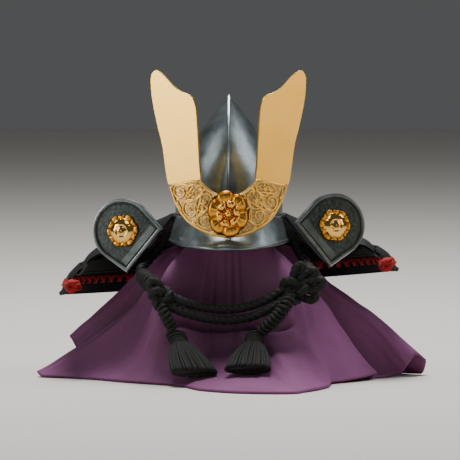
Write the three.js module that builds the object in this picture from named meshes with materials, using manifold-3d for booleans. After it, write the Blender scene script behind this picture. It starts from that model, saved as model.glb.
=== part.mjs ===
// A display-size kabuto helmet on its cloth-draped stand, in millimetres.
// +Z is up, the helmet faces -Y, and the origin is on the table under the helmet's middle.
import * as THREE from 'three';
import { mergeVertices } from 'three/addons/utils/BufferGeometryUtils.js';
import Module from 'manifold-3d';

const wasm = await Module();
wasm.setup();

// Clearances and sheet thicknesses
const gap = 0.35;
const iron = 1.1;
const gilt = 1.2;
const clothThick = 1.2;

// Bowl: two curved sides that meet in a keel at the front, the tip and the back
const rimHeight = 66;
const bowlHeight = 60.4;
const bowlWidth = 48.4;
const bowlFront = 28.2;
const bowlBack = 30.4;
const combProud = 1.1;
const combThick = 1.3;

// Waist band round the bowl's lower edge, and the visor under its front
const bandHeight = 8;
const visorReach = 12.5;
const visorDrop = 12;
const visorSideDrop = 7.5;
const visorSpan = 62;
const beadRadius = 0.9;

// Neck guard of four lames
const guardWidth = 147;
const guardBack = 67;
const guardDrop = 29.5;
const guardTilt = 0.072;
const lameLap = 2.2;

// Turned-back flaps with a gilt boss each
const flapPlace = bowlWidth / 2 + 22.8;
const flapForward = 12.8 - bowlFront;
const flapLevel = rimHeight + 2;
const flapSlope = 38.6;
const flapRoll = 0.37;
const flapRadius = 14.4;
const flapBase = 26;
const flapLength = 13.6;
const flapRim = 1.8;
const flapRimProud = 0.7;
const bossRadius = 7.5;
const bossHeight = 2.6;

// Gilt crest: curved base, two flat horns and a rosette
const crestSetback = bowlFront + 12.3;
const crestBend = 75;
const crestThick = 1.5;
const crestBead = 0.55;
const crestArm = bowlWidth * 0.475;
const crestHeight = 26;
const crestFoot = rimHeight - 1.2;
const hornWidth = 21;
const hornHeight = 58.7;
const hornPlace = crestArm * 0.861;
const hornLap = 10.5;
const rosetteWidth = 18.6;
const rosetteHeight = 21.2;
const rosetteProud = 3.2;
const postWidth = 6;
const postHeight = 5;

// Stand: a plain block under a square of cloth
const blockWidth = 29;
const blockCorner = 4;
const blockEdge = 1.8;
const clothReach = 88;

// Chin cord, its knots and tassels
const cordRadius = 2.1;
const knotRadius = 5.2;
const tasselWidth = 20;
const tasselThick = 6;

// Red lacing on the bottom lame's front corners
const lacingCord = 1.6;
const lacingWidth = 9.5;
const lacingHeight = 8;

const ironLacquer = new THREE.MeshStandardMaterial({ color: 0x3b4745, roughness: 0.3, metalness: 0.7 });
const blackLacquer = new THREE.MeshStandardMaterial({ color: 0x121413, roughness: 0.3, metalness: 0.1 });
const gold = new THREE.MeshStandardMaterial({ color: 0xe8c27a, roughness: 0.28, metalness: 1 });
const deepGold = new THREE.MeshStandardMaterial({ color: 0xd9a04a, roughness: 0.3, metalness: 1 });
const blackSilk = new THREE.MeshStandardMaterial({ color: 0x1a1f1b, roughness: 0.75, metalness: 0 });
const redSilk = new THREE.MeshStandardMaterial({ color: 0xa80f18, roughness: 0.6, metalness: 0 });
const purpleCloth = new THREE.MeshStandardMaterial({ color: 0x6d3a63, roughness: 0.9, metalness: 0 });
const wood = new THREE.MeshStandardMaterial({ color: 0xc9a77a, roughness: 0.8, metalness: 0 });

const radians = THREE.MathUtils.degToRad;
const smooth = THREE.MathUtils.smoothstep;

// A smooth curve through one column of a table, with no overshoot between its rows.
function curveOf(rows, by, column) {
  const x = rows.map((row) => row[by]);
  const y = rows.map((row) => row[column]);
  const step = x.slice(1).map((value, i) => (y[i + 1] - y[i]) / (value - x[i]));
  const slope = x.map((_, i) => {
    if (i === 0) return step[0];
    if (i === x.length - 1) return step[i - 1];
    return step[i - 1] * step[i] <= 0 ? 0 : (2 * step[i - 1] * step[i]) / (step[i - 1] + step[i]);
  });
  return (at) => {
    const value = THREE.MathUtils.clamp(at, x[0], x[x.length - 1]);
    let i = 0;
    while (i < x.length - 2 && value > x[i + 1]) i += 1;
    const width = x[i + 1] - x[i];
    const t = (value - x[i]) / width;
    const a = 2 * t ** 3 - 3 * t ** 2 + 1;
    const b = t ** 3 - 2 * t ** 2 + t;
    const c = 3 * t ** 2 - 2 * t ** 3;
    const d = t ** 3 - t ** 2;
    return a * y[i] + b * width * slope[i] + c * y[i + 1] + d * width * slope[i + 1];
  };
}

// The same for a table whose last row runs on into its first, read by row number.
function ringCurveOf(rows, column, period = 0) {
  const count = rows.length;
  const at = (i) => rows[((i % count) + count) % count][column] + period * Math.floor(i / count);
  const slopeAt = (i) => {
    const before = at(i) - at(i - 1);
    const after = at(i + 1) - at(i);
    return before * after <= 0 ? 0 : (2 * before * after) / (before + after);
  };
  return (value) => {
    const i = Math.floor(value);
    const t = value - i;
    return (2 * t ** 3 - 3 * t ** 2 + 1) * at(i) + (t ** 3 - 2 * t ** 2 + t) * slopeAt(i)
      + (3 * t ** 2 - 2 * t ** 3) * at(i + 1) + (t ** 3 - t ** 2) * slopeAt(i + 1);
  };
}

function signedVolume(positions, index) {
  const [a, b, c] = [new THREE.Vector3(), new THREE.Vector3(), new THREE.Vector3()];
  let sum = 0;
  for (let i = 0; i < index.length; i += 3) {
    a.fromArray(positions, index[i] * 3);
    b.fromArray(positions, index[i + 1] * 3);
    c.fromArray(positions, index[i + 2] * 3);
    sum += a.dot(b.cross(c)) / 6;
  }
  return sum;
}

function geometryFrom(points, faces) {
  const positions = points.flatMap((p) => [p.x, p.y, p.z]);
  const index = faces.filter(([a, b, c]) => a !== b && b !== c && a !== c).flat();
  if (signedVolume(positions, index) < 0) {
    for (let i = 0; i < index.length; i += 3) [index[i + 1], index[i + 2]] = [index[i + 2], index[i + 1]];
  }
  const geometry = new THREE.BufferGeometry();
  geometry.setAttribute('position', new THREE.Float32BufferAttribute(positions, 3));
  geometry.setIndex(index);
  geometry.computeVertexNormals();
  return geometry;
}

// A closed wall between two grids of points. wrap joins the last column to the first,
// and pole gathers the last row of each grid into one point.
function wall(columns, rows, outer, inner, { wrap = false, pole = false } = {}) {
  const points = [];
  const across = wrap ? columns : columns + 1;
  const layer = (surface) => {
    const grid = [];
    for (let j = 0; j <= rows; j += 1) {
      const line = [];
      for (let i = 0; i < across; i += 1) {
        if (pole && j === rows && i > 0) line.push(line[0]);
        else line.push(points.push(surface(i / columns, j / rows, i, j)) - 1);
      }
      grid.push(line);
    }
    return grid;
  };
  const [out, inside] = [layer(outer), layer(inner)];
  const faces = [];
  const quad = (a, b, c, d) => faces.push([a, b, c], [a, c, d]);
  for (let j = 0; j < rows; j += 1) {
    for (let i = 0; i < columns; i += 1) {
      const k = wrap ? (i + 1) % columns : i + 1;
      quad(out[j][i], out[j][k], out[j + 1][k], out[j + 1][i]);
      quad(inside[j][k], inside[j][i], inside[j + 1][i], inside[j + 1][k]);
    }
  }
  for (let i = 0; i < columns; i += 1) {
    const k = wrap ? (i + 1) % columns : i + 1;
    quad(out[0][k], out[0][i], inside[0][i], inside[0][k]);
    if (!pole) quad(out[rows][i], out[rows][k], inside[rows][k], inside[rows][i]);
  }
  if (!wrap) {
    for (let j = 0; j < rows; j += 1) {
      quad(out[j][0], out[j + 1][0], inside[j + 1][0], inside[j][0]);
      quad(out[j + 1][columns], out[j][columns], inside[j][columns], inside[j + 1][columns]);
    }
  }
  return geometryFrom(points, faces);
}

function normalOf(surface, u, v) {
  const step = 1e-3;
  const clampTo = (value) => THREE.MathUtils.clamp(value, 0, 1);
  const along = surface(clampTo(u + step), v).sub(surface(clampTo(u - step), v));
  const across = surface(u, clampTo(v + step)).sub(surface(u, clampTo(v - step)));
  return along.cross(across).normalize();
}

// A plate of even thickness over a surface, from the distance lift(u, v) off it.
function plateOver(surface, columns, rows, thickness, side = 1, lift = () => 0) {
  const offset = (extra) => (u, v) => {
    const normal = normalOf(surface, u, v).multiplyScalar(side);
    return surface(u, v).addScaledVector(normal, lift(u, v) + extra);
  };
  return wall(columns, rows, offset(thickness), offset(0));
}

function solidOf(geometry) {
  const bare = new THREE.BufferGeometry();
  const source = geometry.index ? geometry.toNonIndexed() : geometry;
  bare.setAttribute('position', source.getAttribute('position'));
  const merged = mergeVertices(bare, 1e-4);
  return new wasm.Manifold(new wasm.Mesh({
    numProp: 3,
    vertProperties: merged.attributes.position.array,
    triVerts: new Uint32Array(merged.index.array),
  }));
}

function joined(...geometries) {
  const solid = geometries.map(solidOf).reduce((sum, next) => sum.add(next));
  const mesh = solid.getMesh();
  const geometry = new THREE.BufferGeometry();
  geometry.setAttribute('position', new THREE.BufferAttribute(mesh.vertProperties, 3));
  geometry.setIndex(new THREE.BufferAttribute(mesh.triVerts, 1));
  geometry.computeVertexNormals();
  return geometry;
}

function tube(points, radius, sides, steps) {
  const ring = new THREE.Shape();
  for (let i = 0; i < sides; i += 1) {
    const angle = (2 * Math.PI * (i + 0.5)) / sides;
    const x = radius * Math.cos(angle);
    const y = radius * Math.sin(angle);
    if (i === 0) ring.moveTo(x, y);
    else ring.lineTo(x, y);
  }
  const path = new THREE.CatmullRomCurve3(points, false, 'centripetal');
  return new THREE.ExtrudeGeometry(ring, { steps, extrudePath: path, bevelEnabled: false });
}

const root = new THREE.Group();
function piece(name, geometry, material, parent = root) {
  const mesh = new THREE.Mesh(geometry, material);
  mesh.name = name;
  parent.add(mesh);
  return mesh;
}

// Bowl
// rise is the share of the bowl's height; wide, front and back are shares of its reach each way.
// keel is the power that pulls the sides into the fore-and-aft ridge: 1 is round, over 2 is hollow.
const bowlRows = [
  { rise: 0.00, wide: 0.985, front: 0.98, back: 0.97, keel: 1.00 },
  { rise: 0.12, wide: 1.000, front: 1.00, back: 1.00, keel: 1.05 },
  { rise: 0.26, wide: 0.985, front: 0.99, back: 1.00, keel: 1.12 },
  { rise: 0.40, wide: 0.905, front: 0.93, back: 0.95, keel: 1.25 },
  { rise: 0.52, wide: 0.815, front: 0.84, back: 0.87, keel: 1.42 },
  { rise: 0.63, wide: 0.690, front: 0.71, back: 0.76, keel: 1.62 },
  { rise: 0.74, wide: 0.530, front: 0.55, back: 0.61, keel: 1.85 },
  { rise: 0.84, wide: 0.350, front: 0.37, back: 0.43, keel: 2.05 },
  { rise: 0.93, wide: 0.165, front: 0.165, back: 0.22, keel: 2.20 },
  { rise: 1.00, wide: 0.000, front: -0.04, back: 0.04, keel: 2.20 },
];
const bowlWide = curveOf(bowlRows, 'rise', 'wide');
const bowlForward = curveOf(bowlRows, 'rise', 'front');
const bowlRearward = curveOf(bowlRows, 'rise', 'back');
const bowlKeel = curveOf(bowlRows, 'rise', 'keel');

// A point of the bowl's section at a share of its height. angle 0 is the front and 180 the back.
function bowlPoint(angle, rise, offset = 0) {
  const wide = Math.max(bowlWide(rise) * bowlWidth / 2 + offset, 0);
  const front = bowlForward(rise) * bowlFront + offset;
  const back = bowlRearward(rise) * bowlBack + offset;
  const sine = Math.sin(angle);
  const middle = (back - front) / 2;
  const reach = Math.max((back + front) / 2, 0);
  return new THREE.Vector3(
    wide * Math.sign(sine) * Math.abs(sine) ** bowlKeel(rise),
    middle - reach * Math.cos(angle),
    rimHeight + rise * bowlHeight,
  );
}

const bowlColumns = 28;
const bowlLevels = [0, 0.12, 0.26, 0.4, 0.52, 0.63, 0.74, 0.84, 0.93, 1];
const innerTop = 0.88;
const bowlShell = wall(
  bowlColumns,
  bowlLevels.length - 1,
  (u, v, i, j) => bowlPoint(2 * Math.PI * u, bowlLevels[j]),
  (u, v, i, j) => {
    const last = j === bowlLevels.length - 1;
    const point = bowlPoint(2 * Math.PI * u, bowlLevels[j] * innerTop, -iron * 1.15);
    return last ? new THREE.Vector3(0, point.y, point.z) : point;
  },
  { wrap: true, pole: true },
);

// The comb stands on the keel from the front edge over the tip to the back edge.
function combStrip() {
  const inset = 1.2;
  const start = 0.16;
  const levels = bowlLevels.filter((level) => level > start);
  const side = (angle, shift) => [start, ...levels].map((level) => {
    const point = bowlPoint(angle, level);
    return new THREE.Vector2(point.y + shift, point.z);
  });
  const rise = (list, extra) => list.map((p, i) => new THREE.Vector2(p.x, p.y + extra * (i / (list.length - 1))));
  const outline = new THREE.Shape([
    ...rise(side(0, -combProud), combProud),
    ...rise(side(Math.PI, combProud), combProud).reverse(),
    ...rise(side(Math.PI, -inset), -inset * 2),
    ...rise(side(0, inset), -inset * 2).reverse().slice(1),
  ]);
  const strip = new THREE.ExtrudeGeometry(outline, { depth: combThick, bevelEnabled: false });
  strip.translate(0, 0, -combThick / 2);
  // The outline's own x and y become the part's y and z.
  return strip.applyMatrix4(new THREE.Matrix4().makeBasis(
    new THREE.Vector3(0, 1, 0),
    new THREE.Vector3(0, 0, 1),
    new THREE.Vector3(1, 0, 0),
  ));
}
piece('bowl', joined(bowlShell, combStrip()), ironLacquer);

// Waist band
const bandFoot = -0.4;
function bandPoint(angle, rise, extra) {
  const point = bowlPoint(angle, Math.max(rise, 0) / bowlHeight, gap + extra);
  point.z = rimHeight + rise;
  return point;
}
const bandTop = bandFoot + bandHeight;
piece('waist_band', wall(
  bowlColumns,
  2,
  (u, v) => bandPoint(2 * Math.PI * u, bandFoot + v * bandHeight, iron),
  (u, v) => bandPoint(2 * Math.PI * u, bandFoot + v * bandHeight, 0),
  { wrap: true },
), ironLacquer);

// Visor: a curved plate that starts on the band and dips forward to a beaded edge
const visorTop = bandTop - 1.8;
function visorPoint(u, v) {
  const angle = radians(visorSpan) * (2 * u - 1);
  const root = bandPoint(angle, visorTop, iron + gap);
  const facing = Math.cos(angle);
  const reach = visorReach * Math.max(facing, 0) ** 1.1 + 1.3;
  const drop = visorSideDrop + (visorDrop - visorSideDrop) * Math.max(facing, 0) ** 1.2;
  const bulge = v ** 0.9;
  root.x += Math.sin(angle) * reach * bulge * 0.45;
  root.y -= (Math.max(facing, 0) ** 0.6 * (reach - 1.3) + 0.4) * bulge;
  root.z -= drop * v ** 1.05;
  return root;
}
const visorColumns = 20;
const visorEdge = Array.from({ length: 19 }, (_, i) => {
  const point = visorPoint(i / 18, 1);
  point.addScaledVector(normalOf(visorPoint, i / 18, 0.999), -iron / 2);
  return point;
});
piece('visor', joined(
  plateOver(visorPoint, visorColumns, 3, iron, -1),
  tube(visorEdge, beadRadius, 5, visorColumns),
), ironLacquer);

// Neck guard: one flaring surface that all four lames are strips of
// half and back are shares of the guard's reach, fall a share of its drop, dip how far
// the front corners hang down, sink how far the back hangs down, and tilt the share of the roll.
const guardRows = [
  { level: 0, half: 0.000, back: 0.000, fall: 0.000, dip: 0.4, sink: 0.0, tilt: 0.00 },
  { level: 1, half: 0.400, back: 0.430, fall: 0.270, dip: 12.5, sink: 0.6, tilt: 0.08 },
  { level: 2, half: 0.660, back: 0.700, fall: 0.480, dip: 5.0, sink: 2.0, tilt: 0.55 },
  { level: 3, half: 0.850, back: 0.880, fall: 0.730, dip: 1.0, sink: 3.6, tilt: 0.85 },
  { level: 4, half: 1.000, back: 1.000, fall: 1.000, dip: 0.0, sink: 5.0, tilt: 1.00 },
];
const guardCurve = Object.fromEntries(
  ['half', 'back', 'fall', 'dip', 'sink', 'tilt'].map((key) => [key, curveOf(guardRows, 'level', key)]),
);
const guardTop = rimHeight + bandTop - 1.2;
function guardPoint(u, level, start) {
  const sweep = Math.PI - radians(start);
  const angle = sweep * (2 * u - 1);
  const seat = bandPoint(Math.PI - angle, bandTop, iron + gap * 1.4);
  const half = guardCurve.half(level) * (guardWidth / 2 - bowlWidth / 2);
  const back = guardCurve.back(level) * (guardBack - bowlBack);
  const point = new THREE.Vector3(
    seat.x + half * Math.sin(angle),
    seat.y + (Math.cos(angle) > 0 ? back : back * 0.9) * Math.cos(angle),
    guardTop - guardCurve.fall(level) * guardDrop,
  );
  const forward = smooth(Math.abs(angle), Math.PI * 0.38, Math.PI * 0.66);
  point.z -= guardCurve.dip(level) * forward;
  point.z -= guardCurve.sink(level) * Math.max(Math.cos(angle), 0);
  point.z += guardTilt * guardCurve.tilt(level) * point.x;
  return point;
}

// from and to are levels of the guard; top and foot are the angles from straight ahead
// at which the lame's upper and lower edges begin, and room is what it stands off the lame above
// beyond the usual gap, where the two bend differently.
const lameRows = [
  { name: 'lame_1_top', from: 0, to: 1, top: 72, foot: 67, room: 0 },
  { name: 'lame_2', from: 1, to: 2, top: 81, foot: 81, room: 0.15 },
  { name: 'lame_3', from: 2, to: 3, top: 80, foot: 79, room: 0.95 },
  { name: 'lame_4_bottom', from: 3, to: 4, top: 79, foot: 78, room: 0.75 },
];
const lap = iron + gap;
const lameColumns = 22;
for (const row of lameRows) {
  const first = row.from === 0;
  const start = first ? 0 : row.from - lameLap / (guardDrop / lameRows.length);
  const levelAt = (v) => start + (row.to - start) * v;
  const surface = (u, v) => guardPoint(u, levelAt(v), THREE.MathUtils.lerp(row.top, row.foot, v));
  const lift = (u, v) => (first ? 0 : (lap + row.room) * (1 - smooth(levelAt(v), row.from + 0.15, row.to)));
  piece(row.name, plateOver(surface, lameColumns, first ? 4 : 3, iron, 1, lift), blackLacquer);
}

// Turned-back flaps: an arch-shaped plate with a raised rim, standing on the top lame's front edge
function archShape(inset) {
  const half = flapBase / 2 - inset;
  const round = flapRadius - inset;
  const shape = new THREE.Shape();
  shape.moveTo(flapLength - inset, -half);
  shape.lineTo(flapLength - inset, half);
  shape.lineTo(round * 0.12, round * 0.992);
  shape.absarc(0, 0, round, radians(83), radians(277), false);
  shape.lineTo(flapLength - inset, -half);
  return shape;
}
function flapGeometry() {
  const plateOptions = { depth: iron, bevelEnabled: false, curveSegments: 10 };
  const base = new THREE.ExtrudeGeometry(archShape(0), plateOptions);
  const ring = archShape(0);
  ring.holes.push(new THREE.Path(archShape(flapRim).getPoints(10)));
  const rim = new THREE.ExtrudeGeometry(ring, { depth: flapRimProud + 0.3, bevelEnabled: false, curveSegments: 10 });
  rim.translate(0, 0, iron - 0.3);
  return joined(base, rim);
}

// A low dome of petals on a flat back: rings of points whose height follows the petals
function rosette(width, height, proud, petals) {
  const columns = petals * 4;
  const profile = [
    { out: 1.00, up: 0.18, lobe: 0.06 },
    { out: 0.93, up: 0.42, lobe: 0.05 },
    { out: 0.72, up: 0.62, lobe: 0.03 },
    { out: 0.50, up: 0.50, lobe: 0.00 },
    { out: 0.36, up: 0.86, lobe: 0.03 },
    { out: 0.20, up: 0.90, lobe: 0.00 },
    { out: 0.00, up: 1.00, lobe: 0.00 },
  ];
  const top = (u, v, i, j) => {
    const angle = 2 * Math.PI * u;
    const row = profile[j];
    const wave = Math.abs(Math.cos(petals * angle / 2));
    const out = row.out * (1 - row.lobe * 2 * (1 - wave));
    const up = proud * row.up * (1 - 0.28 * (1 - wave) * (row.out > 0.2 ? 1 : 0));
    return new THREE.Vector3(out * width / 2 * Math.cos(angle), out * height / 2 * Math.sin(angle), up);
  };
  return domeOf(columns, profile.length - 1, top);
}

// A closed dome: rings of points that end in one point on top, over a flat underside.
function domeOf(columns, rows, surface) {
  const points = [];
  const faces = [];
  const ring = (z) => Array.from({ length: columns }, (_, i) => {
    const point = surface(i / columns, 0, i, 0);
    return points.push(new THREE.Vector3(point.x, point.y, z)) - 1;
  });
  const rings = [ring(0)];
  for (let j = 0; j < rows; j += 1) {
    rings.push(Array.from({ length: columns }, (_, i) => points.push(surface(i / columns, 0, i, j)) - 1));
  }
  const top = points.push(surface(0, 1, 0, rows)) - 1;
  const under = points.push(new THREE.Vector3(0, 0, 0)) - 1;
  for (let i = 0; i < columns; i += 1) {
    const k = (i + 1) % columns;
    for (let j = 0; j < rows; j += 1) {
      faces.push([rings[j][i], rings[j][k], rings[j + 1][k]], [rings[j][i], rings[j + 1][k], rings[j + 1][i]]);
    }
    faces.push([rings[rows][i], rings[rows][k], top], [rings[0][k], rings[0][i], under]);
  }
  return geometryFrom(points, faces);
}

function placedOn(parent, origin, towardX, facing) {
  const group = new THREE.Group();
  const z = facing.clone().normalize();
  const x = towardX.clone().addScaledVector(z, -towardX.dot(z)).normalize();
  const y = new THREE.Vector3().crossVectors(z, x);
  group.position.copy(origin);
  group.quaternion.setFromRotationMatrix(new THREE.Matrix4().makeBasis(x, y, z));
  parent.add(group);
  return group;
}

const flapFacing = { x: 0.3, y: -0.95, z: 0.05 };
for (const side of [-1, 1]) {
  const name = side < 0 ? 'left' : 'right';
  const facing = new THREE.Vector3(side * flapFacing.x, flapFacing.y, flapFacing.z);
  const inward = new THREE.Vector3(-side * Math.cos(radians(flapSlope)), 0, -Math.sin(radians(flapSlope)));
  const roll = guardTilt * side * flapPlace * flapRoll;
  const centre = new THREE.Vector3(side * flapPlace, flapForward, flapLevel + roll);
  const holder = placedOn(root, centre, inward, facing);
  piece('flap_' + name, flapGeometry(), ironLacquer, holder);
  const boss = piece('flap_boss_' + name, rosette(bossRadius * 2, bossRadius * 2, bossHeight, 6), gold, holder);
  boss.position.z = iron + gap;
}

// Crest base: a curved U-shaped plate, described from its right arm to its middle
const crestRows = [
  { place: 0.0, inX: 0.53, inZ: 1.000, outX: 1.13, outZ: 0.900 },
  { place: 0.2, inX: 0.45, inZ: 0.920, outX: 1.00, outZ: 0.570 },
  { place: 0.4, inX: 0.36, inZ: 0.845, outX: 0.82, outZ: 0.310 },
  { place: 0.6, inX: 0.25, inZ: 0.780, outX: 0.57, outZ: 0.140 },
  { place: 0.8, inX: 0.13, inZ: 0.740, outX: 0.27, outZ: 0.035 },
  { place: 1.0, inX: 0.00, inZ: 0.725, outX: 0.00, outZ: 0.000 },
];
const crestCurve = Object.fromEntries(
  ['inX', 'inZ', 'outX', 'outZ'].map((key) => [key, curveOf(crestRows, 'place', key)]),
);
const crestY = (x) => -crestSetback + x * x / crestBend;
function crestPoint(u, v) {
  const place = 1 - Math.abs(2 * u - 1);
  const side = Math.sign(0.5 - u);
  const x = side * crestArm * THREE.MathUtils.lerp(crestCurve.inX(place), crestCurve.outX(place), v);
  const z = crestFoot + crestHeight * THREE.MathUtils.lerp(crestCurve.inZ(place), crestCurve.outZ(place), v);
  return new THREE.Vector3(x, crestY(x), z);
}
// The plate grows towards the front, so the side of its surface that faces -Y is the outer one.
function crestBase() {
  const columns = 16;
  const rows = 3;
  const shifted = (depth) => (u, v) => {
    const point = crestPoint(u, v);
    const slope = 2 * point.x / crestBend;
    const normal = new THREE.Vector3(slope, -1, 0).normalize();
    return point.addScaledVector(normal, depth);
  };
  const rimAt = (v) => tube(
    Array.from({ length: 13 }, (_, i) => shifted(crestThick)(0.01 + 0.98 * i / 12, v)),
    crestBead, 5, columns,
  );
  return joined(wall(columns, rows, shifted(crestThick), shifted(0)), rimAt(0.05), rimAt(0.95));
}
piece('crest_base', crestBase(), gold);

// Horns: flat gilt blades, outlined in shares of their width and height, outer side first
const hornOuter = [[-0.30, 0], [-0.37, 0.17], [-0.47, 0.43], [-0.57, 0.576], [-0.68, 0.77], [-0.715, 0.90]];
const hornTip = [[-0.715, 0.955], [-0.66, 1.0], [-0.545, 1.0], [-0.40, 0.97]];
const hornCut = [[-0.37, 0.956], [-0.205, 0.879], [-0.04, 0.838], [0.13, 0.815]];
const hornInner = [[0.27, 0.70], [0.305, 0.50], [0.335, 0.30], [0.36, 0.184], [0.33, 0]];
function hornShape() {
  const spot = ([x, z]) => new THREE.Vector2(x * hornWidth, z * hornHeight);
  const shape = new THREE.Shape();
  const first = spot(hornOuter[0]);
  shape.moveTo(first.x, first.y);
  shape.splineThru(hornOuter.slice(1).map(spot));
  const [a, b, c] = hornTip.map(spot);
  shape.bezierCurveTo(a.x, a.y, b.x, b.y - 0.4, c.x - 0.6, c.y);
  const cutStart = spot(hornCut[0]);
  shape.quadraticCurveTo(c.x + 1.2, c.y, cutStart.x, cutStart.y);
  shape.splineThru(hornCut.slice(1).map(spot));
  const shoulder = spot([0.235, 0.80]);
  const innerStart = spot(hornInner[0]);
  shape.quadraticCurveTo(shoulder.x, shoulder.y, innerStart.x, innerStart.y);
  shape.splineThru(hornInner.slice(1).map(spot));
  return shape;
}
const hornSlope = 2 * hornPlace / crestBend;
const hornTurn = Math.atan(hornSlope);
const hornRoot = crestFoot + crestHeight * crestCurve.inZ(0) - hornLap;
for (const side of [-1, 1]) {
  const blade = new THREE.ExtrudeGeometry(hornShape(), { depth: gilt, bevelEnabled: false, curveSegments: 3 });
  // The blade was drawn as the left one; its width is stretched so that it shows full from the front.
  blade.applyMatrix4(new THREE.Matrix4().makeBasis(
    new THREE.Vector3(-side / Math.cos(hornTurn), 0, 0),
    new THREE.Vector3(0, 0, 1),
    new THREE.Vector3(0, 1, 0),
  ));
  const flipped = geometryFrom(
    Array.from({ length: blade.attributes.position.count }, (_, i) => (
      new THREE.Vector3().fromBufferAttribute(blade.attributes.position, i))),
    Array.from({ length: blade.attributes.position.count / 3 }, (_, i) => [3 * i, 3 * i + 1, 3 * i + 2]),
  );
  const horn = piece(side < 0 ? 'horn_left' : 'horn_right', flipped, gold);
  horn.rotation.z = side * hornTurn;
  horn.position.set(side * hornPlace, crestY(hornPlace) + 1.4, hornRoot);
}

// Rosette in front of the crest base, and the post that carries the crest on the bowl
const rosettePlace = crestFoot + crestHeight * 0.425;
const rosetteHolder = placedOn(
  root,
  new THREE.Vector3(0, -crestSetback - crestThick - crestBead - gap, rosettePlace),
  new THREE.Vector3(1, 0, 0),
  new THREE.Vector3(0, -1, 0),
);
piece('crest_rosette', rosette(rosetteWidth, rosetteHeight, rosetteProud, 6), deepGold, rosetteHolder);

function crestPost() {
  const postLow = rosettePlace + 0.5;
  const seat = bowlPoint(0, (postLow - rimHeight) / bowlHeight);
  const front = crestY(postWidth / 2) + gap;
  const back = seat.y - combProud - gap * 2;
  const box = new THREE.BoxGeometry(postWidth, back - front, postHeight);
  box.translate(0, (back + front) / 2, postLow + postHeight / 2);
  return box;
}
piece('crest_post', crestPost(), blackLacquer);

// Stand block and the cloth over it
// The cloth's flat top is where the helmet rests: as high as its corners still fit inside the bowl.
const blockHalf = blockWidth / 2;
function squareRadius(angle, half, corner) {
  const power = 2 + 10 * (1 - corner / half);
  const c = Math.abs(Math.cos(angle));
  const s = Math.abs(Math.sin(angle));
  return half / (c ** power + s ** power) ** (1 / power);
}
const drapedHalf = blockHalf + gap * 1.5 + clothThick;
function seatLevel() {
  const reach = squareRadius(Math.PI / 4, drapedHalf, blockCorner) + gap;
  const corner = reach * Math.SQRT1_2;
  const fits = (rise) => {
    const low = bowlPoint(0, rise, -iron * 1.15).y;
    const high = bowlPoint(Math.PI, rise, -iron * 1.15).y;
    const wide = bowlWide(rise) * bowlWidth / 2 - iron * 1.15;
    const middle = (low + high) / 2;
    const share = (side) => Math.abs(side * corner - middle) / ((high - low) / 2);
    const room = (side) => (share(side) >= 1 ? 0 : wide * (1 - share(side) ** 2) ** (bowlKeel(rise) / 2));
    return Math.min(room(-1), room(1)) > corner;
  };
  let [low, high] = [0, 0.8];
  for (let i = 0; i < 40; i += 1) {
    const rise = (low + high) / 2;
    if (fits(rise)) low = rise;
    else high = rise;
  }
  return rimHeight + low * bowlHeight;
}
const drapeTop = seatLevel() - gap;
const blockHeight = drapeTop - clothThick - gap;

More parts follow.
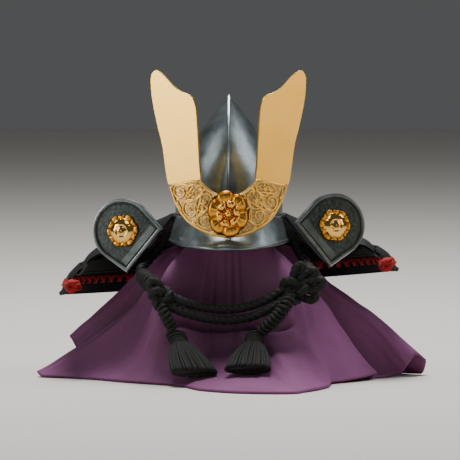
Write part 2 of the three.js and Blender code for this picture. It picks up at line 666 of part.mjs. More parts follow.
// One row for each fold line of the cloth, round the stand from the front towards the right.
// top and hem are its direction in degrees at the stand and at the hem; the other columns are
// how far out (r, shares of the cloth's reach) and how high (z, shares of the bowl rim's height)
// it lies at the hip, knee, foot, skirt and hem.
const foldRows = [
  { top: -18, hem: -18, hipR: 0.233, hipZ: 0.88, kneeR: 0.352, kneeZ: 0.61, footR: 0.443, footZ: 0.330, skirtR: 0.557, skirtZ: 0.100, hemR: 0.720, hemZ: 0 },
  { top: -8, hem: -8, hipR: 0.227, hipZ: 0.88, kneeR: 0.341, kneeZ: 0.61, footR: 0.432, footZ: 0.330, skirtR: 0.600, skirtZ: 0.095, hemR: 0.920, hemZ: 0 },
  { top: 4, hem: 4, hipR: 0.227, hipZ: 0.88, kneeR: 0.341, kneeZ: 0.61, footR: 0.437, footZ: 0.330, skirtR: 0.665, skirtZ: 0.095, hemR: 1.075, hemZ: 0 },
  { top: 14, hem: 16, hipR: 0.239, hipZ: 0.88, kneeR: 0.352, kneeZ: 0.61, footR: 0.455, footZ: 0.340, skirtR: 0.705, skirtZ: 0.100, hemR: 1.140, hemZ: 0 },
  { top: 26, hem: 24, hipR: 0.273, hipZ: 0.89, kneeR: 0.386, kneeZ: 0.64, footR: 0.500, footZ: 0.365, skirtR: 0.727, skirtZ: 0.170, hemR: 1.080, hemZ: 0 },
  { top: 40, hem: 33, hipR: 0.341, hipZ: 0.91, kneeR: 0.455, kneeZ: 0.73, footR: 0.545, footZ: 0.420, skirtR: 0.682, skirtZ: 0.185, hemR: 0.864, hemZ: 0 },
  { top: 54, hem: 50, hipR: 0.341, hipZ: 0.83, kneeR: 0.466, kneeZ: 0.64, footR: 0.568, footZ: 0.410, skirtR: 0.648, skirtZ: 0.180, hemR: 0.710, hemZ: 0 },
  { top: 64, hem: 76, hipR: 0.341, hipZ: 0.80, kneeR: 0.477, kneeZ: 0.60, footR: 0.591, footZ: 0.395, skirtR: 0.682, skirtZ: 0.185, hemR: 0.773, hemZ: 0.04 },
  { top: 73, hem: 85, hipR: 0.295, hipZ: 0.76, kneeR: 0.409, kneeZ: 0.48, footR: 0.523, footZ: 0.215, skirtR: 0.660, skirtZ: 0.060, hemR: 0.800, hemZ: 0 },
  { top: 81, hem: 90, hipR: 0.330, hipZ: 0.80, kneeR: 0.466, kneeZ: 0.52, footR: 0.614, footZ: 0.290, skirtR: 0.784, skirtZ: 0.110, hemR: 0.965, hemZ: 0 },
  { top: 88, hem: 95, hipR: 0.375, hipZ: 0.85, kneeR: 0.500, kneeZ: 0.65, footR: 0.648, footZ: 0.515, skirtR: 0.818, skirtZ: 0.350, hemR: 1.005, hemZ: 0.16 },
  { top: 95, hem: 100, hipR: 0.330, hipZ: 0.79, kneeR: 0.466, kneeZ: 0.50, footR: 0.614, footZ: 0.260, skirtR: 0.784, skirtZ: 0.080, hemR: 0.970, hemZ: 0 },
  { top: 110, hem: 112, hipR: 0.273, hipZ: 0.76, kneeR: 0.375, kneeZ: 0.45, footR: 0.477, footZ: 0.180, skirtR: 0.614, skirtZ: 0.040, hemR: 0.840, hemZ: 0 },
  { top: 128, hem: 130, hipR: 0.330, hipZ: 0.83, kneeR: 0.432, kneeZ: 0.58, footR: 0.545, footZ: 0.280, skirtR: 0.682, skirtZ: 0.090, hemR: 0.910, hemZ: 0 },
  { top: 145, hem: 146, hipR: 0.284, hipZ: 0.76, kneeR: 0.375, kneeZ: 0.45, footR: 0.477, footZ: 0.180, skirtR: 0.614, skirtZ: 0.040, hemR: 0.820, hemZ: 0 },
  { top: 162, hem: 162, hipR: 0.250, hipZ: 0.79, kneeR: 0.352, kneeZ: 0.46, footR: 0.455, footZ: 0.200, skirtR: 0.591, skirtZ: 0.075, hemR: 0.760, hemZ: 0 },
  { top: 179, hem: 179, hipR: 0.261, hipZ: 0.82, kneeR: 0.375, kneeZ: 0.52, footR: 0.489, footZ: 0.260, skirtR: 0.625, skirtZ: 0.105, hemR: 0.790, hemZ: 0 },
  { top: 196, hem: 196, hipR: 0.250, hipZ: 0.76, kneeR: 0.352, kneeZ: 0.45, footR: 0.455, footZ: 0.180, skirtR: 0.591, skirtZ: 0.040, hemR: 0.775, hemZ: 0 },
  { top: 213, hem: 213, hipR: 0.295, hipZ: 0.79, kneeR: 0.398, kneeZ: 0.48, footR: 0.500, footZ: 0.210, skirtR: 0.636, skirtZ: 0.060, hemR: 0.845, hemZ: 0 },
  { top: 228, hem: 228, hipR: 0.341, hipZ: 0.83, kneeR: 0.443, kneeZ: 0.58, footR: 0.557, footZ: 0.290, skirtR: 0.693, skirtZ: 0.105, hemR: 0.910, hemZ: 0 },
  { top: 242, hem: 241, hipR: 0.284, hipZ: 0.76, kneeR: 0.386, kneeZ: 0.47, footR: 0.500, footZ: 0.200, skirtR: 0.648, skirtZ: 0.040, hemR: 0.865, hemZ: 0 },
  { top: 254, hem: 251, hipR: 0.318, hipZ: 0.79, kneeR: 0.443, kneeZ: 0.50, footR: 0.568, footZ: 0.215, skirtR: 0.705, skirtZ: 0.050, hemR: 0.885, hemZ: 0 },
  { top: 263, hem: 259, hipR: 0.375, hipZ: 0.83, kneeR: 0.511, kneeZ: 0.65, footR: 0.636, footZ: 0.500, skirtR: 0.750, skirtZ: 0.385, hemR: 0.865, hemZ: 0.255 },
  { top: 271, hem: 266, hipR: 0.330, hipZ: 0.79, kneeR: 0.466, kneeZ: 0.50, footR: 0.614, footZ: 0.270, skirtR: 0.773, skirtZ: 0.100, hemR: 0.935, hemZ: 0 },
  { top: 280, hem: 273, hipR: 0.352, hipZ: 0.80, kneeR: 0.477, kneeZ: 0.575, footR: 0.636, footZ: 0.410, skirtR: 0.807, skirtZ: 0.225, hemR: 0.985, hemZ: 0.04 },
  { top: 290, hem: 282, hipR: 0.307, hipZ: 0.82, kneeR: 0.432, kneeZ: 0.545, footR: 0.545, footZ: 0.285, skirtR: 0.660, skirtZ: 0.100, hemR: 0.785, hemZ: 0 },
  { top: 302, hem: 298, hipR: 0.284, hipZ: 0.86, kneeR: 0.432, kneeZ: 0.63, footR: 0.523, footZ: 0.300, skirtR: 0.600, skirtZ: 0.105, hemR: 0.680, hemZ: 0 },
  { top: 316, hem: 316, hipR: 0.307, hipZ: 0.91, kneeR: 0.466, kneeZ: 0.70, footR: 0.523, footZ: 0.330, skirtR: 0.580, skirtZ: 0.120, hemR: 0.650, hemZ: 0 },
  { top: 330, hem: 330, hipR: 0.261, hipZ: 0.88, kneeR: 0.398, kneeZ: 0.62, footR: 0.466, footZ: 0.330, skirtR: 0.550, skirtZ: 0.120, hemR: 0.645, hemZ: 0 },
];
const foldCount = foldRows.length;
const foldCurve = Object.fromEntries(
  Object.keys(foldRows[0]).map((key) => [
    key,
    ringCurveOf(foldRows, key, key === 'top' || key === 'hem' ? 360 : 0),
  ]),
);

// The fold line at a row number, as the radius, height and direction of its stations
// from the edge of the flat top down to the hem. thick moves it inwards by that much.
function foldLine(row, inset) {
  const top = foldCurve.top(row);
  const hem = foldCurve.hem(row);
  const upright = squareRadius(radians(top), drapedHalf - inset, blockCorner);
  const floor = inset > 0 ? 0 : clothThick;
  const under = inset > 0 ? inset : 0;
  const height = (share) => Math.max(share * rimHeight - under, 0) + floor * (share * rimHeight < clothThick ? 1 : 0);
  const stations = [
    { key: 0, r: upright - 1.2, z: drapeTop - inset, turn: 0 },
    { key: 1, r: upright, z: drapeTop - 1.6 - inset, turn: 0 },
    { key: 2, r: upright + 0.2, z: rimHeight - 1.2, turn: 0 },
    { key: 3, r: foldCurve.hipR(row) * clothReach - under * 0.8, z: height(foldCurve.hipZ(row)), turn: 0.1 },
    { key: 4, r: foldCurve.kneeR(row) * clothReach - under * 0.8, z: height(foldCurve.kneeZ(row)), turn: 0.3 },
    { key: 5, r: foldCurve.footR(row) * clothReach - under * 0.6, z: height(foldCurve.footZ(row)), turn: 0.55 },
    { key: 6, r: foldCurve.skirtR(row) * clothReach - under * 0.3, z: height(foldCurve.skirtZ(row)), turn: 0.8 },
    { key: 7, r: foldCurve.hemR(row) * clothReach, z: height(foldCurve.hemZ(row)), turn: 1 },
  ];
  const r = curveOf(stations, 'key', 'r');
  const z = curveOf(stations, 'key', 'z');
  const turn = curveOf(stations, 'key', 'turn');
  return (key) => {
    const angle = radians(THREE.MathUtils.lerp(top, hem, turn(key)));
    return new THREE.Vector3(r(key) * Math.sin(angle), -r(key) * Math.cos(angle), z(key));
  };
}
const drapeLevels = [7, 6.35, 5.7, 5.1, 4.5, 4, 3.5, 3, 2, 1, 0];
const drapeStep = 2;
function drapeGeometry() {
  const columns = foldCount * drapeStep;
  const layer = (inset) => {
    const lines = Array.from({ length: columns }, (_, i) => foldLine(i / drapeStep, inset));
    return (u, v, i, j) => {
      if (j === drapeLevels.length) return new THREE.Vector3(0, 0, drapeTop - inset);
      return lines[i](drapeLevels[j]);
    };
  };
  return wall(columns, drapeLevels.length, layer(0), layer(clothThick), { wrap: true, pole: true });
}
piece('drape', drapeGeometry(), purpleCloth);

function blockGeometry() {
  const corner = blockCorner;
  const inner = blockHalf - corner;
  const shape = new THREE.Shape();
  shape.absarc(inner, inner, corner, 0, Math.PI / 2, false);
  shape.absarc(-inner, inner, corner, Math.PI / 2, Math.PI, false);
  shape.absarc(-inner, -inner, corner, Math.PI, Math.PI * 1.5, false);
  shape.absarc(inner, -inner, corner, Math.PI * 1.5, Math.PI * 2, false);
  const block = new THREE.ExtrudeGeometry(shape, {
    depth: blockHeight - 2 * blockEdge,
    bevelThickness: blockEdge,
    bevelSize: blockEdge,
    bevelOffset: -blockEdge,
    bevelSegments: 1,
    curveSegments: 3,
  });
  return block.translate(0, 0, blockEdge);
}
piece('stand_block', blockGeometry(), wood);

// Chin cord
// Each route is a list of points along the cord's middle, ending clear of the knot it runs into.
const swagRoutes = {
  cord_swag_upper: [
    [-24.1, -40.5, 38.4], [-19, -40.4, 36.2], [-11, -38.6, 33.9], [-1, -37.8, 33],
    [9, -38.6, 34.4], [18, -40.4, 38], [23, -40.8, 41],
  ],
  cord_swag_lower: [
    [-24.1, -41.5, 33.8], [-19, -41.6, 31.7], [-11, -40.6, 29.4], [-1, -39.8, 28.3],
    [9, -40.6, 29.6], [17, -42.2, 32.8], [22, -42.8, 35.6],
  ],
};
const hangerRoutes = {
  cord_hanger_left: [[-29.2, -7.5, 61], [-36, -11, 53], [-39.5, -18, 49], [-36.5, -29, 45.4], [-32.4, -36.2, 42.8]],
  cord_hanger_right: [[28.6, -7.5, 62.4], [33.8, -11, 52.8], [36.8, -18, 50], [36, -29, 48.8], [32.9, -36.7, 46.8]],
};
const tailRoutes = {
  cord_tail_left: [[-28.9, -43.4, 33.5], [-27, -44.2, 29.4], [-24.5, -43, 24.3]],
  cord_tail_right: [[26, -47.4, 36.2], [22.3, -48.2, 31], [17.6, -47.6, 26.4], [14.6, -46.4, 24]],
};
const cordSides = 8;
const pointsOf = (route) => route.map((at) => new THREE.Vector3(...at));
for (const [name, route] of Object.entries(swagRoutes)) {
  piece(name, tube(pointsOf(route), cordRadius, cordSides, 14), blackSilk);
}
for (const [name, route] of Object.entries(hangerRoutes)) {
  piece(name, tube(pointsOf(route), cordRadius, cordSides, 8), blackSilk);
}
for (const [name, route] of Object.entries(tailRoutes)) {
  piece(name, tube(pointsOf(route), cordRadius, cordSides, 5), blackSilk);
}

// Knots: a wrapped core with the cord's turns round it
function knotGeometry(radius, turns) {
  const core = new THREE.SphereGeometry(radius, 10, 7);
  const loops = turns.map((tilt) => {
    const loop = new THREE.TorusGeometry(radius * 0.78, cordRadius * 0.9, 5, 10);
    return loop.rotateY(radians(tilt.turn)).rotateX(radians(tilt.lean));
  });
  return joined(core, ...loops);
}
const knotTurns = [{ turn: 40, lean: -30 }];
const knotPlaces = {
  knot_left: { x: -30, y: -40.2, z: 38.6, radius: knotRadius },
  knot_right: { x: 29.6, y: -41.4, z: 42.4, radius: knotRadius * 1.12 },
};
for (const [name, at] of Object.entries(knotPlaces)) {
  piece(name, knotGeometry(at.radius, knotTurns), blackSilk).position.set(at.x, at.y, at.z);
}

// Tassels: a wrapped head and a flat skirt of strands, lying down the slope of the cloth
// along is the share of the length from the head; wide and thick are shares of the skirt's own.
const tasselRows = [
  { along: 0.00, wide: 0.22, thick: 0.45 },
  { along: 0.05, wide: 0.34, thick: 0.80 },
  { along: 0.14, wide: 0.36, thick: 0.90 },
  { along: 0.22, wide: 0.30, thick: 0.72 },
  { along: 0.34, wide: 0.52, thick: 0.90 },
  { along: 0.55, wide: 0.76, thick: 0.95 },
  { along: 0.80, wide: 0.94, thick: 0.84 },
  { along: 1.00, wide: 1.00, thick: 0.70 },
];
const tasselStrands = 8;
function tasselGeometry(head, foot, up) {
  const axis = foot.clone().sub(head);
  const length = axis.length();
  axis.normalize();
  const across = new THREE.Vector3().crossVectors(axis, up).normalize();
  const out = new THREE.Vector3().crossVectors(across, axis).normalize();
  const count = tasselStrands * 2;
  const points = [];
  const faces = [];
  const rings = tasselRows.map((row) => Array.from({ length: count }, (_, i) => {
    const angle = (2 * Math.PI * i) / count;
    const groove = i % 2 ? 1 - 0.07 * smooth(row.along, 0.2, 0.6) : 1;
    const wide = (row.wide * tasselWidth / 2) * groove * Math.sign(Math.cos(angle)) * Math.abs(Math.cos(angle)) ** 0.8;
    const thick = (row.thick * tasselThick / 2) * groove * Math.sin(angle);
    const point = head.clone().addScaledVector(axis, row.along * length);
    return points.push(point.addScaledVector(across, wide).addScaledVector(out, thick)) - 1;
  }));
  for (let j = 0; j < rings.length - 1; j += 1) {
    for (let i = 0; i < count; i += 1) {
      const k = (i + 1) % count;
      faces.push([rings[j][i], rings[j][k], rings[j + 1][k]], [rings[j][i], rings[j + 1][k], rings[j + 1][i]]);
    }
  }
  const start = points.push(head.clone()) - 1;
  const end = points.push(foot.clone()) - 1;
  for (let i = 0; i < count; i += 1) {
    const k = (i + 1) % count;
    faces.push([rings[0][k], rings[0][i], start], [rings[rings.length - 1][i], rings[rings.length - 1][k], end]);
  }
  return geometryFrom(points, faces);
}
const tasselUp = new THREE.Vector3(0, -0.45, 0.9);
const tasselPlaces = {
  tassel_left: { head: [-23.5, -42, 22.2], foot: [-14.4, -60, 6.3] },
  tassel_right: { head: [12, -45.5, 21.8], foot: [8.8, -65, 8.3] },
};
for (const [name, at] of Object.entries(tasselPlaces)) {
  const [head, foot] = pointsOf([at.head, at.foot]);
  piece(name, tasselGeometry(head, foot, tasselUp), blackSilk);
}

// Lacing clusters on the front corners of the bottom lame
function lacingGeometry() {
  const bars = [-1, 0, 1].map((i) => {
    const bar = new THREE.CapsuleGeometry(lacingCord, lacingHeight - 2 * lacingCord, 1, 5);
    return bar.rotateX(Math.PI / 2).translate(i * lacingCord * 1.6, 0, 0);
  });
  const band = new THREE.CapsuleGeometry(lacingCord * 0.8, lacingWidth - 2 * lacingCord, 1, 5);
  return joined(...bars, band.rotateZ(Math.PI / 2));
}
for (const side of [-1, 1]) {
  const corner = guardPoint(side < 0 ? 0 : 1, 3.55, lameRows[3].foot);
  const cluster = piece(side < 0 ? 'lacing_left' : 'lacing_right', lacingGeometry(), redSilk);
  cluster.position.set(corner.x, corner.y - lacingCord - gap * 2, corner.z);
}

export default root;
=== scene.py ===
import math
import bpy
import bmesh
import numpy as np
from mathutils import Matrix, Vector, noise


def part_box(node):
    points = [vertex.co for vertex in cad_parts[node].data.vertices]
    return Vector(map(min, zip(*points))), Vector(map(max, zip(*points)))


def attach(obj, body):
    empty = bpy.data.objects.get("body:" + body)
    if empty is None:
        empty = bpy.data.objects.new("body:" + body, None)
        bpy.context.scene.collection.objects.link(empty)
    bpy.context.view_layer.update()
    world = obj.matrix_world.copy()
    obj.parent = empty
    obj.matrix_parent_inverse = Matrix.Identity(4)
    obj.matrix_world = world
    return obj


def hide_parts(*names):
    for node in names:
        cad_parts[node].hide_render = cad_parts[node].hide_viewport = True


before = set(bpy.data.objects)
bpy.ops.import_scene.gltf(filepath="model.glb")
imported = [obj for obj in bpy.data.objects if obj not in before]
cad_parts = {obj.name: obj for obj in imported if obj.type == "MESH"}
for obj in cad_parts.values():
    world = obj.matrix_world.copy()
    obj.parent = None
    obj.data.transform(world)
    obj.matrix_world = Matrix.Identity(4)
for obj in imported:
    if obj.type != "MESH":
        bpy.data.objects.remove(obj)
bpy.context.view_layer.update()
mm = 0.001
sideSigns = {"left": -1, "right": 1}
print("frame loaded")


# shared helpers
def toLinear(hexColour):
    parts = [int(hexColour[i:i + 2], 16) / 255 for i in (1, 3, 5)]
    return [c / 12.92 if c <= 0.04045 else ((c + 0.055) / 1.055) ** 2.4 for c in parts] + [1.0]


# settings fill sockets or properties by name, links join a socket to an output, or to a node's first one
def addNode(tree, kind, settings=None, links=None):
    node = tree.nodes.new(kind)
    for key, value in (settings or {}).items():
        if isinstance(key, int) or key in node.inputs:
            node.inputs[key].default_value = value
        else:
            setattr(node, key, value)
    for key, source in (links or {}).items():
        tree.links.new(source.outputs[0] if isinstance(source, bpy.types.Node) else source, node.inputs[key])
    return node


def addObject(name, data):
    made = bpy.data.objects.new(name, data)
    bpy.context.scene.collection.objects.link(made)
    return made


def meanSlope(a, b):
    return 0 if a * b <= 0 else 2 * a * b / (a + b)


# between two values with their slopes, at a share t of the way
def hermite(t, start, startSlope, end, endSlope):
    return ((2 * t**3 - 3 * t**2 + 1) * start + (t**3 - 2 * t**2 + t) * startSlope
            + (3 * t**2 - 2 * t**3) * end + (t**3 - t**2) * endSlope)


# a curve through the points with no overshoot between them
def smoothCurve(xs, ys):
    xs, ys = np.asarray(xs, float), np.asarray(ys, float)
    step = np.diff(ys) / np.diff(xs)
    slope = np.array([step[0], *map(meanSlope, step, step[1:]), step[-1]])

    def at(value):
        v = np.clip(value, xs[0], xs[-1])
        i = np.clip(np.searchsorted(xs, v, side="right") - 1, 0, len(xs) - 2)
        w = xs[i + 1] - xs[i]
        return hermite((v - xs[i]) / w, ys[i], w * slope[i], ys[i + 1], w * slope[i + 1])
    return at


# a curve for each further column of a table, over its first column
def tableCurves(rows):
    first, *others = zip(*rows)
    return [smoothCurve(first, column) for column in others]


def smoothStep(x, low, high):
    t = min(max((x - low) / (high - low), 0.0), 1.0)
    return t * t * (3 - 2 * t)


# evenly spaced points on a soft curve through the given ones
def smoothRoute(points, count):
    pts = [Vector(p) for p in points]
    dense = []
    for i in range(len(pts) - 1):
        p0, p1, p2 = pts[max(i - 1, 0)], pts[i], pts[i + 1]
        p3 = pts[min(i + 2, len(pts) - 1)]
        for j in range(24):
            t = j / 24
            dense.append(0.5 * ((2 * p1) + (p2 - p0) * t + (2 * p0 - 5 * p1 + 4 * p2 - p3) * t * t
                                + (3 * p1 - p0 - 3 * p2 + p3) * t**3))
    dense.append(pts[-1])
    lengths = [0.0]
    for a, b in zip(dense, dense[1:]):
        lengths.append(lengths[-1] + (b - a).length)
    out = []
    for k in range(count):
        target = lengths[-1] * k / (count - 1)
        i = int(np.clip(np.searchsorted(lengths, target) - 1, 0, len(dense) - 2))
        span = lengths[i + 1] - lengths[i] or 1e-9
        out.append(dense[i].lerp(dense[i + 1], (target - lengths[i]) / span))
    return out


def routeLength(points):
    return sum((b - a).length for a, b in zip(points, points[1:]))


def fullTurn(count):
    return [2 * math.pi * i / count for i in range(count)]


# edges that bend more than this stay crisp under smooth shading
def sharpEdges(mesh, degrees):
    bm = bmesh.new()
    bm.from_mesh(mesh)
    for edge in bm.edges:
        if len(edge.link_faces) == 2:
            edge.smooth = edge.calc_face_angle(0) < math.radians(degrees)
    bm.to_mesh(mesh)
    bm.free()


def finishPiece(name, mesh, smooth=True):
    for polygon in mesh.polygons:
        polygon.use_smooth = smooth
    piece = addObject(name, mesh)
    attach(piece, "root")
    return piece


# a mesh in millimetres becomes a finished piece in metres
def makePiece(name, verts, faces, material, slot, replaces=(), smooth=True, tidy=True, crisp=None):
    mesh = bpy.data.meshes.new(name)
    mesh.from_pydata([Vector(v) * mm for v in verts], [], faces)
    if tidy:
        bm = bmesh.new()
        bm.from_mesh(mesh)
        bmesh.ops.remove_doubles(bm, verts=bm.verts, dist=1e-7)
        bmesh.ops.recalc_face_normals(bm, faces=bm.faces)
        bm.to_mesh(mesh)
        bm.free()
    mesh.materials.append(material)
    piece = finishPiece(name, mesh, smooth)
    if crisp:
        sharpEdges(mesh, crisp)
    if replaces:
        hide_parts(*replaces)
    return piece


# wrap joins the last column to the first, loop the last row to the first
def gridFaces(rows, columns, wrap=False, loop=False, start=0):
    faces = []
    for j in range(rows if loop else rows - 1):
        a, b = start + j * columns, start + (j + 1) % rows * columns
        for i in range(columns if wrap else columns - 1):
            k = (i + 1) % columns
            faces.append((a + i, a + k, b + k, b + i))
    return faces


# rings joined into a tube that is closed at both ends
def tubeFaces(rings, around):
    last = (rings - 1) * around
    return gridFaces(rings, around, wrap=True) + [tuple(range(around))[::-1], tuple(range(last, last + around))]


# a closed wall between two grids of points
def closedGrid(outer, inner, wrap=False):
    rows, columns = len(outer), len(outer[0])
    size, last = rows * columns, (rows - 1) * columns
    verts = [p for grid in (outer, inner) for row in grid for p in row]
    faces = gridFaces(rows, columns, wrap) + [f[::-1] for f in gridFaces(rows, columns, wrap, start=size)]
    for i in range(columns if wrap else columns - 1):
        k = (i + 1) % columns
        faces += [(i, size + i, size + k, k), (last + k, size + last + k, size + last + i, last + i)]
    for j in range(0 if wrap else rows - 1):
        a, b = j * columns, (j + 1) * columns
        c, d = a + columns - 1, b + columns - 1
        faces += [(a, b, size + b, size + a), (d, c, size + c, size + d)]
    return verts, faces


# unit normals of a grid of points, as an array of the same shape
def sheetNormals(grid):
    g = np.array(grid, float)
    du = np.gradient(g, axis=1)
    dv = np.gradient(g, axis=0)
    n = np.cross(du, dv)
    size = np.linalg.norm(n, axis=2, keepdims=True)
    return n / np.maximum(size, 1e-9)


# directions across a route that don't twist along it
def frames(points):
    tangents = []
    for i in range(len(points)):
        a, b = points[max(i - 1, 0)], points[min(i + 1, len(points) - 1)]
        tangents.append((b - a).normalized())
    side = tangents[0].orthogonal().normalized()
    out = []
    for t in tangents:
        side = (side - t * side.dot(t)).normalized()
        out.append((t, side, t.cross(side)))
    return out


# a twisted cord: the section has one lobe for each strand and turns along the route
def ropeMesh(points, radius, strands=3, pitch=9.0, sides=30, groove=0.26, closed=False):
    verts, travelled, count = [], 0.0, len(points)
    for i, (p, (t, side, up)) in enumerate(zip(points, frames(points))):
        if i:
            travelled += (p - points[i - 1]).length
        turn = 2 * math.pi * travelled / pitch
        for angle in fullTurn(sides):
            lobe = abs(math.cos(strands / 2 * (angle - turn)))
            r = radius * (1 - groove * (1 - lobe) ** 1.6)
            verts.append(p + side * (r * math.cos(angle)) + up * (r * math.sin(angle)))
    faces = gridFaces(count, sides, wrap=True, loop=closed)
    if not closed:
        first, last = len(verts), (count - 1) * sides
        verts += [points[0], points[-1]]
        for s in range(sides):
            k = (s + 1) % sides
            faces += [(k, s, first), (last + s, last + k, first + 1)]
    return verts, faces


def taperedTube(points, radii, sides=8):
    verts = [p + side * (r * math.cos(angle)) + up * (r * math.sin(angle))
             for p, (t, side, up), r in zip(points, frames(points), radii) for angle in fullTurn(sides)]
    return verts, tubeFaces(len(points), sides)


def joinMeshes(parts):
    verts, faces = [], []
    for v, f in parts:
        base = len(verts)
        verts += [tuple(x) for x in v]
        faces += [tuple(base + i for i in face) for face in f]
    return verts, faces


# camera
cameraSizes = {"place": (25.4, -2595.0, 208.6), "aim": (0.6, -14.0, 67.0), "widthAtAim": 206.0}


def setCamera():
    place, aim = (Vector(cameraSizes[key]) * mm for key in ("place", "aim"))
    data = bpy.data.cameras.new("viewCamera")
    data.sensor_width, data.sensor_fit = 36, "HORIZONTAL"
    data.angle = 2 * math.atan(cameraSizes["widthAtAim"] * mm / 2 / (aim - place).length)
    data.clip_start, data.clip_end = 0.1, 20
    camera = addObject("viewCamera", data)
    camera.location = place
    camera.rotation_euler = (aim - place).to_track_quat("-Z", "Y").to_euler()
    bpy.context.scene.camera = camera


setCamera()
print("camera set")


# materials: the values set here are the shader's own sockets
def startMaterial(name, values):
    material = bpy.data.materials.new(name)
    material.use_nodes = True
    tree = material.node_tree
    shader = tree.nodes["Principled BSDF"]
    for socket, value in values.items():
        shader.inputs[socket].default_value = value
    return material, tree, shader, addNode(tree, "ShaderNodeTexCoord").outputs["Object"]


def addNoise(tree, place, scale, detail, stretch=None):
    if stretch:
        place = addNode(tree, "ShaderNodeMapping", {"Scale": stretch}, {"Vector": place})
    return addNode(tree, "ShaderNodeTexNoise", {"Scale": scale, "Detail": detail}, {"Vector": place})


# base colour from a texture, by a ramp of (position, colour) stops
def setTint(tree, shader, source, low, high, *middle):
    ramp = addNode(tree, "ShaderNodeValToRGB", links={"Fac": source})
    for element, (position, colour) in zip(ramp.color_ramp.elements, (low, high)):
        element.position, element.color = position, toLinear(colour)
    for position, colour in middle:
        ramp.color_ramp.elements.new(position).color = toLinear(colour)
    tree.links.new(ramp.outputs["Color"], shader.inputs["Base Color"])


def setRoughness(tree, shader, source, low, high, fromLow=0.0, fromHigh=1.0):
    span = {"From Min": fromLow, "From Max": fromHigh, "To Min": low, "To Max": high}
    rough = addNode(tree, "ShaderNodeMapRange", span, {"Value": source})
    tree.links.new(rough.outputs["Result"], shader.inputs["Roughness"])


def setBump(tree, shader, source, strength, distance):
    bump = addNode(tree, "ShaderNodeBump", {"Strength": strength, "Distance": distance}, {"Height": source})
    tree.links.new(bump.outputs["Normal"], shader.inputs["Normal"])


def lacqueredIron():
    # dark green-grey metallic lacquer over sheet iron: deep gloss, faint mottling
    values = {"Metallic": 0.82, "Coat Weight": 0.5, "Coat Roughness": 0.12}
    material, tree, shader, place = startMaterial("lacqueredIron", values)
    mottle = addNode(tree, "ShaderNodeTexNoise", {"Scale": 130.0, "Detail": 5.0, "Roughness": 0.6},
                     {"Vector": place})
    setTint(tree, shader, mottle, (0.35, "#5b6465"), (0.7, "#7e8787"))
    setRoughness(tree, shader, mottle, 0.24, 0.36)
    setBump(tree, shader, addNoise(tree, place, 1500.0, 3.0), 0.06, 0.0001)
    return material


def blackUrushi():
    # black urushi lacquer on thin plates: near-black, high gloss, slightly wavy from hand polishing
    values = {"Base Color": toLinear("#0b0d0d"), "IOR": 1.54, "Coat Weight": 0.3, "Coat Roughness": 0.12}
    material, tree, shader, place = startMaterial("blackUrushi", values)
    wave = addNoise(tree, place, 60.0, 2.0)
    setRoughness(tree, shader, wave, 0.28, 0.42)
    setBump(tree, shader, wave, 0.1, 0.0004)
    return material


def dullInnerLacquer():
    # the undersides of the plates: unpolished black lacquer, matt and slightly gritty
    values = {"Roughness": 0.75, "Specular IOR Level": 0.12}
    material, tree, shader, place = startMaterial("dullInnerLacquer", values)
    grit = addNoise(tree, place, 900.0, 3.0)
    setTint(tree, shader, grit, (0.0, "#050505"), (1.0, "#141414"))
    setBump(tree, shader, grit, 0.2, 0.0001)
    return material


def gildedBrass():
    # gold-plated brass sheet: warm satin metal with cloudy plating and faint drawn grain
    material, tree, shader, place = startMaterial("gildedBrass", {"Metallic": 1.0})
    cloud = addNoise(tree, place, 55.0, 4.0)
    setTint(tree, shader, cloud, (0.3, "#f1bf5a"), (0.72, "#f7cb6c"))
    setRoughness(tree, shader, cloud, 0.24, 0.34)
    setBump(tree, shader, addNoise(tree, place, 2200.0, 2.0, stretch=(1.0, 1.0, 0.06)), 0.08, 0.0001)
    return material


def reliefGold(name, low, mid, high, polish=0.2):
    # cast and gilt ornament: bright on its crowns, dark wax and tarnish left in its hollows
    material, tree, shader, place = startMaterial(name, {"Metallic": 1.0})
    relief = addNode(tree, "ShaderNodeAttribute", {"attribute_name": "relief"}).outputs["Fac"]
    setTint(tree, shader, relief, (0.16, low), (0.75, high), (0.3, mid))
    setRoughness(tree, shader, relief, 0.5, polish, 0.1, 0.6)
    setBump(tree, shader, addNoise(tree, place, 1400.0, 3.0), 0.1, 0.0001)
    return material


def waxedGoldGround():
    # recessed ground of the carved crest: gold darkened by brown wax left in the cutting
    material, tree, shader, place = startMaterial("waxedGoldGround", {"Metallic": 1.0, "Roughness": 0.4})
    grit = addNode(tree, "ShaderNodeTexVoronoi", {"Scale": 1300.0}, {"Vector": place})
    setTint(tree, shader, grit, (0.0, "#6e4c1e"), (1.0, "#eccb8a"))
    setBump(tree, shader, grit, 0.4, 0.0002)
    return material


def stippledIron():
    # lacquered iron with a stippled, brush-mottled field: pale green-grey flecks over dark
    values = {"Metallic": 0.55, "Coat Weight": 0.3, "Coat Roughness": 0.2}
    material, tree, shader, place = startMaterial("stippledIron", values)
    fleck = addNode(tree, "ShaderNodeTexNoise", {"Scale": 900.0, "Detail": 4.0, "Roughness": 0.7},
                    {"Vector": place})
    setTint(tree, shader, fleck, (0.38, "#1f2826"), (0.66, "#4c5755"))
    setRoughness(tree, shader, fleck, 0.25, 0.5)
    setBump(tree, shader, fleck, 0.3, 0.00015)
    return material


def twistedSilk(name, dark, light, sheen):
    # filament silk: fine parallel threads that catch the light in streaks
    values = {"Sheen Weight": sheen, "Sheen Roughness": 0.4, "Roughness": 0.68, "Specular IOR Level": 0.3}
    material, tree, shader, place = startMaterial(name, values)
    thread = addNoise(tree, place, 1800.0, 2.0)
    setTint(tree, shader, thread, (0.3, dark), (0.75, light))
    setBump(tree, shader, thread, 0.35, 0.00015)
    return material


